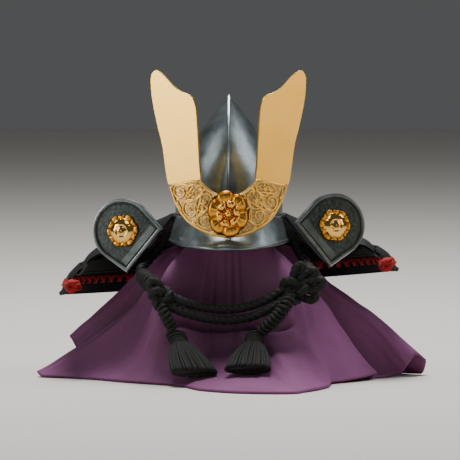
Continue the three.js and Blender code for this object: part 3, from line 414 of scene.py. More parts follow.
def purpleCrepe():
    # woven polyester crepe: matt purple with a pebbled surface about 0.5 mm across
    values = {"Sheen Weight": 0.16, "Sheen Roughness": 0.5, "Sheen Tint": toLinear("#b06fa6"), "Roughness": 0.8}
    material, tree, shader, place = startMaterial("purpleCrepe", values)
    pebble = addNode(tree, "ShaderNodeTexVoronoi", {"Scale": 1600.0}, {"Vector": place})
    both = addNode(tree, "ShaderNodeMath", {"operation": "MULTIPLY_ADD", 1: 0.35},
                   {0: pebble, 2: addNoise(tree, place, 28.0, 4.0)})
    setTint(tree, shader, both, (0.35, "#6a2f5c"), (0.9, "#804373"))
    setBump(tree, shader, pebble, 0.25, 0.00015)
    return material


def sandedPine():
    # sanded softwood block: straw brown with straight grain
    material, tree, shader, place = startMaterial("sandedPine", {"Roughness": 0.7})
    grain = addNoise(tree, place, 260.0, 5.0, stretch=(1.0, 1.0, 0.08))
    setTint(tree, shader, grain, (0.0, "#a98455"), (1.0, "#d6b384"))
    setBump(tree, shader, grain, 0.2, 0.0002)
    return material


ironFinish = lacqueredIron()
flapFinish = stippledIron()
urushiFinish = blackUrushi()
innerLacquerFinish = dullInnerLacquer()
giltFinish = gildedBrass()
crestGroundFinish = waxedGoldGround()
deepGiltFinish = reliefGold("deepGildedBrass", "#3c1f05", "#c07a1c", "#f6b955")
bossFinish = reliefGold("brightBossGold", "#4a2c0a", "#cf9238", "#f2c26c", polish=0.09)
cordFinish = twistedSilk("darkGreenSilk", "#060806", "#171b16", 0.04)
redFinish = twistedSilk("redSilk", "#7c0208", "#c80f18", 0.12)
crepeFinish = purpleCrepe()
pineFinish = sandedPine()
print("materials made")

nodeFinishes = [  # for the solids, by how a node's name starts; all others are cord
    (("bowl", "waist_band", "visor", "flap_left", "flap_right"), ironFinish),
    (("lame", "crest_post"), urushiFinish), (("flap_boss", "crest_base", "horn"), giltFinish),
    (("crest_rosette",), deepGiltFinish), (("stand_block",), pineFinish), (("drape",), crepeFinish),
    (("lacing",), redFinish),
]
for nodeName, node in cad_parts.items():
    finish = next((finish for starts, finish in nodeFinishes if nodeName.startswith(starts)), cordFinish)
    node.data.materials.clear()
    node.data.materials.append(finish)


# chin cord
cordSizes = {"radius": 2.1, "pitch": 8.6, "groove": 0.34, "stepMm": 0.4}
cordRoutes = {
    "leftHanger": [(-29.2, -7.5, 61), (-36, -11, 53), (-39.5, -18, 49), (-36.5, -29, 45.4), (-32.4, -36.2, 42.8)],
    "leftKnot": [(-30, -40.2, 38.6)],
    "leftTail": [(-28.9, -43.4, 33.5), (-27, -44.2, 29.4), (-24.5, -43, 24.3)],
    "rightHanger": [(28.6, -7.5, 62.4), (33.8, -11, 52.8), (36.8, -18, 50), (36, -29, 48.8), (32.9, -36.7, 46.8)],
    "rightKnot": [(29.6, -41.4, 42.4)],
    "rightTail": [(26, -47.4, 36.2), (22.3, -48.2, 31), (17.6, -47.6, 26.4), (14.6, -46.4, 24)],
    "swagUpper": [(-28.4, -40.6, 39.2), (-24.1, -40.5, 38.4), (-19, -40.4, 36.2), (-11, -38.6, 33.9),
                  (-1, -37.8, 33), (9, -38.6, 34.4), (18, -40.4, 38), (23, -40.8, 41), (27.6, -41, 42.6)],
    "swagLower": [(-28.6, -41.4, 36), (-24.1, -41.5, 33.8), (-19, -41.6, 31.7), (-11, -40.6, 29.4),
                  (-1, -39.8, 28.3), (9, -40.6, 29.6), (17, -42.2, 32.8), (22, -42.8, 35.6), (26.4, -43, 39)],
}


def makeCord(name, points, nodes):
    count = int(routeLength(smoothRoute(points, 60)) / cordSizes["stepMm"])
    route = smoothRoute(points, count)
    mesh = ropeMesh(route, cordSizes["radius"], pitch=cordSizes["pitch"], groove=cordSizes["groove"])
    return makePiece(name, *mesh, cordFinish, "dark_cord", nodes), route


for side in sideSigns:
    points = cordRoutes[side + "Hanger"] + cordRoutes[side + "Knot"] + cordRoutes[side + "Tail"]
    makeCord(side + "ChinCord", points, ["cord_hanger_" + side, "cord_tail_" + side])
for level in ("Upper", "Lower"):
    points = cordRoutes["swag" + level]
    makeCord("frontCord" + level, points, ["cord_swag_" + level.lower()])
print("chin cord made")


# bowl, waist band and visor
bowlSizes = {"rim": 66, "height": 60.4, "width": 48.4, "front": 28.2, "back": 30.4, "wall": 1.27, "innerTop": 0.88,
             "combProud": 1.15, "combThick": 1.3, "combSunk": 1.2, "combFrom": 0.16, "combFull": 104,
             "columns": 160, "rows": 60}
# rise as a share of the height; wide, front and back as shares of the reach; keel pulls the sides into a ridge
bowlRows = [
    (0.00, 0.985, 0.98, 0.97, 1.00), (0.12, 1.000, 1.00, 1.00, 1.05), (0.26, 0.985, 0.99, 1.00, 1.12),
    (0.40, 0.905, 0.93, 0.95, 1.25), (0.52, 0.815, 0.84, 0.87, 1.42), (0.63, 0.690, 0.71, 0.76, 1.62),
    (0.74, 0.530, 0.55, 0.61, 1.85), (0.84, 0.350, 0.37, 0.43, 2.05), (0.93, 0.165, 0.165, 0.22, 2.20),
    (1.00, 0.000, -0.04, 0.04, 2.20),
]
bowlWide, bowlForward, bowlRearward, bowlKeel = tableCurves(bowlRows)


def bowlPoint(angle, rise, offset=0.0):
    wide = max(bowlWide(rise) * bowlSizes["width"] / 2 + offset, 0)
    front = bowlForward(rise) * bowlSizes["front"] + offset
    back = bowlRearward(rise) * bowlSizes["back"] + offset
    sine = math.sin(angle)
    x = wide * math.copysign(abs(sine) ** bowlKeel(rise), sine)
    y = (back - front) / 2 - max((back + front) / 2, 0) * math.cos(angle)
    return Vector((x, y, bowlSizes["rim"] + rise * bowlSizes["height"]))


# the comb runs over the keel from the front edge, over the tip, to the back edge
def combMesh():
    rises = np.linspace(bowlSizes["combFrom"], 1, 70)
    line = [(bowlPoint(0, r), -1) for r in rises] + [(bowlPoint(math.pi, r), 1) for r in rises[::-1]]
    half, proud, sunk = bowlSizes["combThick"] / 2, bowlSizes["combProud"], bowlSizes["combSunk"]
    verts = []
    for i, (p, side) in enumerate(line):
        along = (line[min(i + 1, len(line) - 1)][0] - line[max(i - 1, 0)][0]).normalized()
        out = Vector((0, -along.z, along.y))
        if out.dot(Vector((0, side, 0.35))) < 0:
            out.negate()
        height = smoothStep(p.z, bowlSizes["rim"] + 4, bowlSizes["combFull"])
        top, wide = proud * (0.25 + 0.75 * height), half * (1.25 - 0.25 * height)
        section = [(-wide, -sunk), (-wide, top * 0.5), (-wide * 0.55, top),
                   (wide * 0.55, top), (wide, top * 0.5), (wide, -sunk)]
        verts += [p + Vector((x, 0, 0)) + out * n for x, n in section]
    return verts, tubeFaces(len(line), 6)


def makeBowl():
    rows, angles = bowlSizes["rows"], fullTurn(bowlSizes["columns"])
    rises = [1 - (1 - j / (rows - 1)) ** 1.25 for j in range(rows)]
    outer = [[bowlPoint(angle, rise) for angle in angles] for rise in rises]
    inner = [[bowlPoint(angle, rise * bowlSizes["innerTop"], -bowlSizes["wall"]) for angle in angles]
             for rise in rises]
    inner[-1] = [Vector((0, 1, p.z)) for p in inner[-1]]
    mesh = joinMeshes([closedGrid(outer, inner, wrap=True), combMesh()])
    makePiece("ironBowl", *mesh, ironFinish, "iron_lacquer", ["bowl"], crisp=40)


makeBowl()

bandSizes = {"foot": -0.4, "height": 8, "gap": 0.35, "iron": 1.1, "edge": 0.35, "columns": 160}


def bandPoint(angle, rise, extra):
    point = bowlPoint(angle, max(rise, 0) / bowlSizes["height"], bandSizes["gap"] + extra)
    point.z = bowlSizes["rim"] + rise
    return point


def makeBand():
    foot, height, iron, edge, columns = (bandSizes[k] for k in ("foot", "height", "iron", "edge", "columns"))
    profile = [(0, 0), (iron - edge, 0), (iron, edge), (iron, height - edge), (iron - edge, height), (0, height)]
    verts = [bandPoint(angle, foot + z, x) for x, z in profile for angle in fullTurn(columns)]
    faces = gridFaces(len(profile), columns, wrap=True, loop=True)
    makePiece("waistBand", verts, faces, ironFinish, "iron_lacquer", ["waist_band"], crisp=35)


makeBand()

visorSizes = {"span": 62, "reach": 12.5, "sideReach": 1.3, "drop": 12, "sideDrop": 7.5, "bead": 0.95,
              "columns": 120, "rows": 24}
visorTop = bandSizes["foot"] + bandSizes["height"] - 1.8


def visorPoint(u, v):
    angle = math.radians(visorSizes["span"]) * (2 * u - 1)
    point = bandPoint(angle, visorTop, bandSizes["iron"] + bandSizes["gap"])
    facing = max(math.cos(angle), 0)
    reach = visorSizes["reach"] * facing ** 1.1 + visorSizes["sideReach"]
    drop = visorSizes["sideDrop"] + (visorSizes["drop"] - visorSizes["sideDrop"]) * facing ** 1.2
    bulge = v ** 0.9
    point.x += math.sin(angle) * reach * bulge * 0.45
    point.y -= (facing ** 0.6 * (reach - visorSizes["sideReach"]) + 0.4) * bulge
    point.z -= drop * v ** 1.05
    return point


def makeVisor():
    rows, columns, iron = visorSizes["rows"], visorSizes["columns"], bandSizes["iron"]
    under = np.array([[visorPoint(i / (columns - 1), max(j / (rows - 1), 1e-4)) for i in range(columns)][::-1]
                      for j in range(rows)])
    outward = sheetNormals(under) * iron
    edge = [Vector(p) for p in under[-1] + outward[-1] / 2]
    mesh = joinMeshes([closedGrid(under + outward, under), ropeMesh(edge, visorSizes["bead"], sides=14, groove=0)])
    makePiece("visorPlate", *mesh, ironFinish, "iron_lacquer", ["visor"], crisp=40)


makeVisor()
print("bowl, band and visor made")


# neck guard
guardSizes = {"width": 147, "back": 67, "drop": 29.5, "tilt": 0.072, "overlap": 2.2, "columns": 150, "rows": 16,
              "bead": 0.55, "beadTrim": 4}
# level, half and back as shares of the reach, fall as a share of the drop, dip and sink in mm, share of the roll
guardRows = [
    (0, 0.000, 0.000, 0.000, 0.4, 0.0, 0.00), (1, 0.400, 0.430, 0.270, 12.5, 0.6, 0.08),
    (2, 0.660, 0.700, 0.480, 5.0, 2.0, 0.55), (3, 0.850, 0.880, 0.730, 1.0, 3.6, 0.85),
    (4, 1.000, 1.000, 1.000, 0.0, 5.0, 1.00),
]
guardHalf, guardBack, guardFall, guardDip, guardSink, guardRoll = tableCurves(guardRows)
guardTop = bowlSizes["rim"] + bandSizes["foot"] + bandSizes["height"] - 1.2


def guardPoint(u, level, start):
    sweep = math.pi - math.radians(start)
    angle = sweep * (2 * u - 1)
    seat = bandPoint(math.pi - angle, bandSizes["foot"] + bandSizes["height"],
                     bandSizes["iron"] + bandSizes["gap"] * 1.4)
    half = guardHalf(level) * (guardSizes["width"] - bowlSizes["width"]) / 2
    back = guardBack(level) * (guardSizes["back"] - bowlSizes["back"])
    facing = math.cos(angle)
    x = seat.x + half * math.sin(angle)
    y = seat.y + (back if facing > 0 else back * 0.9) * facing
    z = guardTop - guardFall(level) * guardSizes["drop"]
    z -= guardDip(level) * smoothStep(abs(angle), math.pi * 0.38, math.pi * 0.66)
    z -= guardSink(level) * max(facing, 0)
    z += guardSizes["tilt"] * guardRoll(level) * x
    return Vector((x, y, z))


lameRows = [
    {"name": "lame_1_top", "from": 0, "to": 1, "top": 72, "foot": 67, "room": 0.0},
    {"name": "lame_2", "from": 1, "to": 2, "top": 81, "foot": 81, "room": 0.15},
    {"name": "lame_3", "from": 2, "to": 3, "top": 80, "foot": 79, "room": 0.95},
    {"name": "lame_4_bottom", "from": 3, "to": 4, "top": 79, "foot": 78, "room": 0.75},
]


# a point of a lame's underside and its lift off the guard's surface
def lameSurface(row, u, v):
    start = row["from"] - (guardSizes["overlap"] / (guardSizes["drop"] / 4) if row["from"] else 0)
    level = start + (row["to"] - start) * v
    point = guardPoint(u, level, row["top"] + (row["foot"] - row["top"]) * v)
    lift = 0.0
    if row["from"]:
        sunk = 1 - smoothStep(level, row["from"] + 0.15, row["to"])
        lift = (bandSizes["iron"] + bandSizes["gap"] + row["room"]) * sunk
    return point, lift


def lameGrid(row, rows, columns, outside=0.0):
    base = [[lameSurface(row, i / (columns - 1), j / (rows - 1)) for i in range(columns)]
            for j in range(rows)]
    g = np.array([[tuple(p) for p, _ in line] for line in base], float)
    lifts = np.array([[l for _, l in line] for line in base])[:, :, None]
    n = sheetNormals(g)
    if n[rows // 2, columns // 2][2] < 0:
        n = -n
    return g + n * (lifts + outside), n


def makeLames():
    iron = bandSizes["iron"]
    for row in lameRows:
        under, n = lameGrid(row, guardSizes["rows"], guardSizes["columns"])
        trim = guardSizes["beadTrim"]
        rim = [Vector(p) for p in (under[-1] + n[-1] * iron * 0.5)[trim:-trim]]
        bead = ropeMesh(rim, guardSizes["bead"] + iron * 0.25, sides=10, groove=0)
        mesh = joinMeshes([closedGrid(under + n * iron, under), bead])
        name = "neckLame" + row["name"].split("_")[1]
        piece = makePiece(name, *mesh, urushiFinish, "black_lacquer", [row["name"]], crisp=40)
        piece.data.materials.append(innerLacquerFinish)
        for polygon in piece.data.polygons:
            if polygon.normal.z < -0.05:
                polygon.material_index = 1


makeLames()

stitchSizes = {"spacing": 5.2, "slant": 42, "length": 6.0, "thread": 0.62, "level": 0.62, "clear": 0.25}
lacingSizes = {"spacing": 13.5, "gapAcross": 1.5, "length": 5.0, "thread": 0.7, "from": 0.09, "to": 0.91,
               "levels": (0.8, 0.72, 0.72)}


# two short threads at each step along a path: crossed or side by side
def lacingTree(name):
    tree = bpy.data.node_groups.new(name, "GeometryNodeTree")
    face = tree.interface
    face.new_socket("Geometry", in_out="INPUT", socket_type="NodeSocketGeometry")
    for label in ("Spacing", "Slant", "Half Gap", "Thread Length", "Thread Radius"):
        face.new_socket(label, in_out="INPUT", socket_type="NodeSocketFloat")
    face.new_socket("Finish", in_out="INPUT", socket_type="NodeSocketMaterial")
    face.new_socket("Geometry", in_out="OUTPUT", socket_type="NodeSocketGeometry")
    given = addNode(tree, "NodeGroupInput").outputs

    def calc(operation, first, second):
        fixed, links = {"operation": operation}, {0: first}
        (fixed if isinstance(second, float) else links)[1] = second
        return addNode(tree, "ShaderNodeMath", fixed, links).outputs[0]
    curve = addNode(tree, "GeometryNodeMeshToCurve", links={"Mesh": given["Geometry"]})
    even = addNode(tree, "GeometryNodeResampleCurve", {"mode": "LENGTH"},
                   {"Curve": curve, "Length": given["Spacing"]})
    outward = addNode(tree, "GeometryNodeInputNamedAttribute", {"data_type": "FLOAT_VECTOR", "Name": "outward"})
    tangent = addNode(tree, "GeometryNodeInputTangent")
    stand = addNode(tree, "FunctionNodeAlignRotationToVector", {"axis": "Z"}, {"Vector": outward})
    turn = addNode(tree, "FunctionNodeAlignRotationToVector", {"axis": "X", "pivot_axis": "Z"},
                   {"Rotation": stand, "Vector": tangent})
    keep = addNode(tree, "GeometryNodeStoreNamedAttribute",
                   {"data_type": "QUATERNION", "domain": "POINT", "Name": "stand"},
                   {"Geometry": even, "Value": turn})
    points = addNode(tree, "GeometryNodeCurveToPoints", {"mode": "EVALUATED"}, {"Curve": keep})
    stored = addNode(tree, "GeometryNodeInputNamedAttribute", {"data_type": "QUATERNION", "Name": "stand"})
    thread = addNode(tree, "GeometryNodeMeshCylinder", {"Vertices": 8, "Side Segments": 4},
                     {"Radius": given["Thread Radius"], "Depth": given["Thread Length"]})
    upright = addNode(tree, "GeometryNodeTransform", {"Rotation": (math.pi / 2, 0, 0)}, {"Geometry": thread})
    # the thread bows, so that its ends dip into the plate
    place = addNode(tree, "GeometryNodeInputPosition")
    split = addNode(tree, "ShaderNodeSeparateXYZ", links={"Vector": place})
    share = calc("DIVIDE", split.outputs["Y"], given["Thread Length"])
    dip = calc("MULTIPLY", calc("MULTIPLY", share, share), given["Thread Radius"])
    down = addNode(tree, "ShaderNodeCombineXYZ", links={"Z": calc("MULTIPLY", dip, -7.0)})
    bowed = addNode(tree, "GeometryNodeSetPosition", links={"Geometry": upright, "Offset": down})
    pair = addNode(tree, "GeometryNodeJoinGeometry")
    for sign in (-1.0, 1.0):
        spin = addNode(tree, "ShaderNodeCombineXYZ", links={"Z": calc("MULTIPLY", given["Slant"], sign)})
        move = addNode(tree, "ShaderNodeCombineXYZ", links={"X": calc("MULTIPLY", given["Half Gap"], sign)})
        one = addNode(tree, "GeometryNodeTransform",
                      links={"Geometry": bowed, "Rotation": spin, "Translation": move})
        tree.links.new(one.outputs["Geometry"], pair.inputs["Geometry"])
    laid = addNode(tree, "GeometryNodeInstanceOnPoints",
                   links={"Points": points, "Instance": pair, "Rotation": stored})
    real = addNode(tree, "GeometryNodeRealizeInstances", links={"Geometry": laid})
    dressed = addNode(tree, "GeometryNodeSetMaterial", links={"Geometry": real, "Material": given["Finish"]})
    addNode(tree, "NodeGroupOutput", links={"Geometry": dressed})
    return tree


lacingGroup = lacingTree("lacingThreads")


# runs the lacing tree over paths of (point, outward) pairs and keeps the plain mesh
def layLacing(name, paths, values, finish):
    mesh = bpy.data.meshes.new(name + "Path")
    verts, edges, outward = [], [], []
    for path in paths:
        base = len(verts)
        verts += [Vector(p) * mm for p, _ in path]
        outward += [tuple(d) for _, d in path]
        edges += [(base + i, base + i + 1) for i in range(len(path) - 1)]
    mesh.from_pydata(verts, edges, [])
    layer = mesh.attributes.new("outward", "FLOAT_VECTOR", "POINT")
    layer.data.foreach_set("vector", np.array(outward, np.float32).ravel())
    carrier = addObject(name + "Path", mesh)
    modifier = carrier.modifiers.new("lacing", "NODES")
    modifier.node_group = lacingGroup
    sockets = {item.name: item.identifier for item in lacingGroup.interface.items_tree
               if item.in_out == "INPUT"}
    for label, value in values.items():
        modifier[sockets[label]] = value
    modifier[sockets["Finish"]] = finish
    bpy.context.view_layer.update()
    evaluated = carrier.evaluated_get(bpy.context.evaluated_depsgraph_get())
    plain = bpy.data.meshes.new_from_object(evaluated)
    carrier.modifiers.clear()
    bpy.data.objects.remove(carrier)
    plain.name = name
    for attribute in ("outward", "stand"):
        if attribute in plain.attributes:
            plain.attributes.remove(plain.attributes[attribute])
    finishPiece(name, plain)


def lamePath(row, v, outside, uFrom=0.02, uTo=0.98):
    g, n = lameGrid(row, 41, 161, outside)
    j = int(round(v * 40))
    sign = 1 if outside > 0 else -1
    first, last = int(uFrom * 160), int(uTo * 160)
    return [(g[j, i], n[j, i] * sign) for i in range(first, last + 1)]


stitchValues = {
    "Spacing": stitchSizes["spacing"] * mm, "Slant": math.radians(stitchSizes["slant"]), "Half Gap": 0.0,
    "Thread Length": stitchSizes["length"] * mm, "Thread Radius": stitchSizes["thread"] * mm,
}
layLacing("redCrossStitches", [
    lamePath(lameRows[3], stitchSizes["level"], outside)
    for outside in (bandSizes["iron"] + stitchSizes["clear"], -stitchSizes["clear"])
], stitchValues, redFinish)
lacingValues = {
    "Spacing": lacingSizes["spacing"] * mm, "Slant": 0.0, "Half Gap": lacingSizes["gapAcross"] / 2 * mm,
    "Thread Length": lacingSizes["length"] * mm, "Thread Radius": lacingSizes["thread"] * mm,
}
layLacing("darkLacing", [
    lamePath(row, v, bandSizes["iron"] + 0.2, lacingSizes["from"], lacingSizes["to"])
    for row, v in zip(lameRows, lacingSizes["levels"])
], lacingValues, cordFinish)
print("neck guard made and laced")


# flaps and bosses
flapSizes = {"place": 47.0, "forward": -15.4, "level": 68.0, "slope": 38.6, "rollShare": 0.37, "radius": 14.4,
             "base": 26.0, "length": 13.6, "rim": 1.8, "rimProud": 0.7, "band": 3.6, "plate": 1.1,
             "arc": (83, 277)}


# the flap's edge, anticlockwise from the fold edge's lower corner
def archOutline(inset, arcSteps=64, lineSteps=14):
    half, r, far = flapSizes["base"] / 2 - inset, flapSizes["radius"] - inset, flapSizes["length"] - inset
    a, b = (math.radians(degrees) for degrees in flapSizes["arc"])

    def arc(share):
        return r * math.cos(a + (b - a) * share), r * math.sin(a + (b - a) * share)

    def line(p, q):
        return [tuple(u + (w - u) * k / lineSteps for u, w in zip(p, q)) for k in range(lineSteps)]
    low, high = (far, -half), (far, half)
    curve = [arc(k / arcSteps) for k in range(arcSteps)]
    return line(low, high) + line(high, arc(0)) + curve + line(arc(1), low)


# rings of one outline at growing insets, closed over at both ends or, when hollow, onto each other
def ringStack(levels, hollow=False):
    outlines = [archOutline(inset) for inset, _ in levels]
    count = len(outlines[0])
    verts = [(x, y, height) for outline, (_, height) in zip(outlines, levels) for x, y in outline]
    faces = gridFaces(len(levels), count, wrap=True, loop=hollow)
    for ring in () if hollow else (0, len(levels) - 1):
        faces += [(ring * count + i, ring * count + (i + 1) % count, len(verts)) for i in range(count)]
        verts.append((*np.mean(outlines[ring], axis=0), levels[ring][1]))
    return verts, faces


def flapPlacing(side):
    facing = Vector((side * 0.3, -0.95, 0.05)).normalized()
    slope = math.radians(flapSizes["slope"])
    inward = Vector((-side * math.cos(slope), 0, -math.sin(slope)))
    inward = (inward - facing * inward.dot(facing)).normalized()
    across = facing.cross(inward)
    roll = guardSizes["tilt"] * side * flapSizes["place"] * flapSizes["rollShare"]
    centre = Vector((side * flapSizes["place"], flapSizes["forward"], flapSizes["level"] + roll))
    turn = Matrix((inward, across, facing)).transposed()
    return lambda p: centre + turn @ Vector(p)


def makeFlap(word):
    place = flapPlacing(sideSigns[word])
    plate, rim, top = flapSizes["plate"], flapSizes["rim"], flapSizes["plate"] + flapSizes["rimProud"]

    def add(part, mesh, finish, replaces=(), **look):
        verts, faces = mesh
        makePiece(word + part, [place(v) for v in verts], faces, finish, "iron_lacquer", replaces, **look)
    add("FlapRim", ringStack([
        (rim + 0.15, 0), (0.15, 0), (0, 0.2), (0, plate), (0.25, top - 0.1), (0.8, top), (rim - 0.35, top - 0.1),
        (rim, plate + 0.1), (rim + 0.15, plate - 0.4)], hollow=True), ironFinish, crisp=32)
    # a flat raised band lies along the folded edge, inside the rim
    right = flapSizes["length"] - rim - 0.25
    left = right - flapSizes["band"]
    half, edge = flapSizes["base"] / 2 - rim - 0.35, 0.3
    box = []
    for x0, x1, z, inset in ((left, right, plate - 0.2, 0), (left, right, plate + 0.42 - edge, 0),
                             (left + edge, right - edge, plate + 0.42, edge)):
        box += [(x0, inset - half, z), (x1, inset - half, z), (x1, half - inset, z), (x0, half - inset, z)]
    add("FlapBand", (box, tubeFaces(3, 4)), ironFinish, smooth=False)
    add("Flap", ringStack([
        (rim + 0.05, 0.1), (rim + 0.05, plate - 0.4), (rim + 0.65, plate - 0.4), (rim + 0.85, plate),
        (rim + 2.5, plate + 0.05), (6.5, plate + 0.12), (10, plate + 0.18)]), flapFinish,
        ["flap_" + word], crisp=32)


# the height of a ring of domed petals, from 0 between them to 1 on their crowns
def petalRing(r, angle, petals, centre, reach, turn):
    step = 2 * math.pi / petals
    across = ((angle - turn + step / 2) % step) / (step / 2) - 1
    along = (r - centre) / reach
    dome = max(0.0, 1 - abs(across) ** 4.5 - abs(along) ** 3) ** 0.5
    rib = 0.06 * math.exp(-(across / 0.12) ** 2) * dome
    return dome + rib


# the height of a layered rosette, from 0 to 1, at a share r of its radius
def rosetteHeight(r, angle, petals, turn):
    step = 2 * math.pi / petals
    outer = 0.52 * petalRing(r, angle, petals, 0.72, 0.27, turn)
    inner = 0.78 * petalRing(r, angle, petals, 0.42, 0.2, turn + step / 2)
    bead = 0.0
    around = ((angle + math.pi / 12) % (math.pi / 6)) - math.pi / 12
    spread = (around * r / 0.035) ** 2 + ((r - 0.2) / 0.04) ** 2
    if spread < 1:
        bead = 0.72 + 0.2 * (1 - spread) ** 0.5
    boss = 0.7 + 0.3 * max(0.0, 1 - (r / 0.14) ** 2) ** 0.5 if r < 0.14 else 0.0
    rim = 0.2 * math.exp(-((r - 0.97) / 0.03) ** 2)
    return max(0.2 * smoothStep(1 - r, 0, 0.1) + 0.05, outer, inner, bead, boss, rim)


# the height of a smooth polished dome in a scalloped edge, with a turned ring round its middle
def bossHeight(r, angle, petals, turn):
    scallop = 0.34 * petalRing(r, angle, 2 * petals, 0.86, 0.14, turn)
    dome = 0.9 * max(0.0, 1 - (r / 0.8) ** 2.3) ** 0.5 if r < 0.8 else 0.0
    ring = 0.14 * math.exp(-((r - 0.3) / 0.05) ** 2)
    return max(0.12, scallop, dome - ring)


def rosetteMesh(width, height, proud, petals=6, turn=0.0, columns=168, rows=60, profile=rosetteHeight):
    def edge(angle):
        wave = abs(math.cos(petals * (angle - turn) / 2))
        return 1 - 0.12 * (1 - wave ** 0.6)
    verts = []
    for j in range(rows):
        r = 1 - j / rows
        for angle in fullTurn(columns):
            out = r * (1 - (1 - edge(angle)) * r * r)
            fade = min(1.0, (1 - r) / 0.05)
            level = proud * (0.12 + (profile(r, angle, petals, turn) - 0.12) * fade)
            verts.append((out * width / 2 * math.cos(angle), out * height / 2 * math.sin(angle), level))
    faces = gridFaces(rows, columns, wrap=True)
    verts.append((0, 0, proud))
    verts += [(x, y, 0) for x, y, _ in verts[:columns]]
    verts.append((0, 0, 0))
    top, floor, centre = rows * columns, rows * columns + 1, len(verts) - 1
    for i in range(columns):
        k = (i + 1) % columns
        faces.append(((rows - 1) * columns + i, (rows - 1) * columns + k, top))
        faces.append((floor + k, floor + i, centre))
        faces.append((i, floor + i, floor + k, k))
    return verts, faces


# an ornament set in place, with how far each point stands proud stored for the tarnish in its hollows
def makeRelief(name, mesh, proud, place, finish, slot, node):
    verts, faces = mesh
    piece = makePiece(name, [place(v) for v in verts], faces, finish, slot, [node], tidy=False)
    layer = piece.data.attributes.new("relief", "FLOAT", "POINT")
    layer.data.foreach_set("value", [max(z, 0) / proud for x, y, z in verts])


bossSizes = {"radius": 7.5, "proud": 2.6, "seat": 1.45, "turn": 0.26}


def makeBoss(word):
    place, wide, proud = flapPlacing(sideSigns[word]), 2 * bossSizes["radius"], bossSizes["proud"]
    mesh = rosetteMesh(wide, wide, proud, turn=bossSizes["turn"] * sideSigns[word], profile=bossHeight)
    makeRelief(word + "FlapBoss", mesh, proud, lambda p: place((p[0], p[1], p[2] + bossSizes["seat"])),
               bossFinish, "gilt", "flap_boss_" + word)


for side in sideSigns:
    makeFlap(side)
    makeBoss(side)
print("flaps made")


# crest
crestSizes = {"setback": 40.5, "bend": 75, "thick": 1.5, "arm": 22.99, "height": 26, "foot": 64.8, "bead": 0.6,
              "sunk": 0.45, "rows": 14, "columns": 97}
crestRows = [
    (0.0, 0.53, 1.000, 1.13, 0.900), (0.2, 0.45, 0.920, 1.00, 0.570), (0.4, 0.36, 0.845, 0.82, 0.310),
    (0.6, 0.25, 0.780, 0.57, 0.140), (0.8, 0.13, 0.740, 0.27, 0.035), (1.0, 0.00, 0.725, 0.00, 0.000),
]
crestInX, crestInZ, crestOutX, crestOutZ = tableCurves(crestRows)


def crestPoint(u, v, proud=0.0):
    place = 1 - abs(2 * u - 1)
    side = 1 if u < 0.5 else -1
    x = side * crestSizes["arm"] * (crestInX(place) * (1 - v) + crestOutX(place) * v)
    z = crestSizes["foot"] + crestSizes["height"] * (crestInZ(place) * (1 - v) + crestOutZ(place) * v)
    slope = 2 * x / crestSizes["bend"]
    y = -crestSizes["setback"] + x * x / crestSizes["bend"]
    return Vector((x, y, z)) + Vector((slope, -1, 0)).normalized() * proud


def makeCrestGround():
    rows, columns = crestSizes["rows"], crestSizes["columns"]
    front, back = ([[crestPoint(i / (columns - 1), j / (rows - 1), proud) for i in range(columns)]
                    for j in range(rows)] for proud in (crestSizes["thick"] - crestSizes["sunk"], 0))
    makePiece("crestGround", *closedGrid(front, back), crestGroundFinish, "gilt", ["crest_base"])


# the point some millimetres along and across from a place on the crest, kept within its beaded border
def onCrest(u, v, along, across, proud):
    length = (crestPoint(u + 0.002, v) - crestPoint(u - 0.002, v)).length / 0.004
    width = (crestPoint(u, 1) - crestPoint(u, 0)).length
    return crestPoint(min(max(u + along / length, 0.015), 0.985), min(max(v + across / width, 0.09), 0.91), proud)


scrollSizes = {"count": 14, "clear": 0.12, "swing": 0.2, "waves": 7, "stem": 0.5, "reach": 0.27, "turns": 1.3,
               "curl": 0.55, "leafTurns": (0.7, 2.2, 3.6)}


# a beaded border, then scrolls: curls and leaves turn out of a waving stem, to alternate sides
def makeCrestScrolls():
    thick, bead, swing, count = crestSizes["thick"], crestSizes["bead"], scrollSizes["swing"], scrollSizes["count"]

    def rod(points, radius, sides=10):
        return taperedTube(points, [radius] * len(points), sides)
    parts = [rod([crestPoint(0.004 + 0.992 * i / 80, v, thick - 0.25) for i in range(81)], bead)
             for v in (0.045, 0.955)]
    parts += [rod([crestPoint(u, 0.05 + 0.9 * i / 12, thick - 0.25) for i in range(13)], bead * 0.9)
              for u in (0.006, 0.994)]
    waves = [2 * math.pi * scrollSizes["waves"] * i / 200 for i in range(201)]
    parts.append(rod([crestPoint(0.02 + 0.96 * i / 200, 0.5 + swing * math.sin(wave), thick - 0.2)
                      for i, wave in enumerate(waves)], scrollSizes["stem"], 8))
    for k in range(count):
        u = 0.055 + 0.89 * k / (count - 1)
        if abs(u - 0.5) < scrollSizes["clear"]:
            continue
        sign = 1 if k % 2 else -1
        v = 0.5 + sign * swing
        size = scrollSizes["reach"] * (crestPoint(u, 1) - crestPoint(u, 0)).length

        def around(r, angle, proud):
            return onCrest(u, v, r * math.cos(angle), r * math.sin(angle), proud)
        shares = [i / 33 for i in range(34)]
        curl = [around(size * (1 - 0.78 * t), sign * math.pi * (2 * scrollSizes["turns"] * t - 0.5), thick - 0.1)
                for t in shares]
        parts.append(taperedTube(curl, [scrollSizes["curl"] * (1 - 0.4 * t) for t in shares]))
        parts.append(taperedTube([onCrest(u, v, (i - 3) * 0.1, 0, thick) for i in range(7)],
                                 [0.25, 0.55, 0.68, 0.72, 0.68, 0.55, 0.25], 10))
        for leafTurn in scrollSizes["leafTurns"]:
            leaf = [around(size * (1 + i / 16), sign * leafTurn + i / 16, thick - 0.15) for i in range(9)]
            parts.append(taperedTube(leaf, [0.15 + 0.6 * math.sin(math.pi * (0.1 + 0.11 * i)) for i in range(9)]))
    makePiece("crestScrolls", *joinMeshes(parts), giltFinish, "gilt")


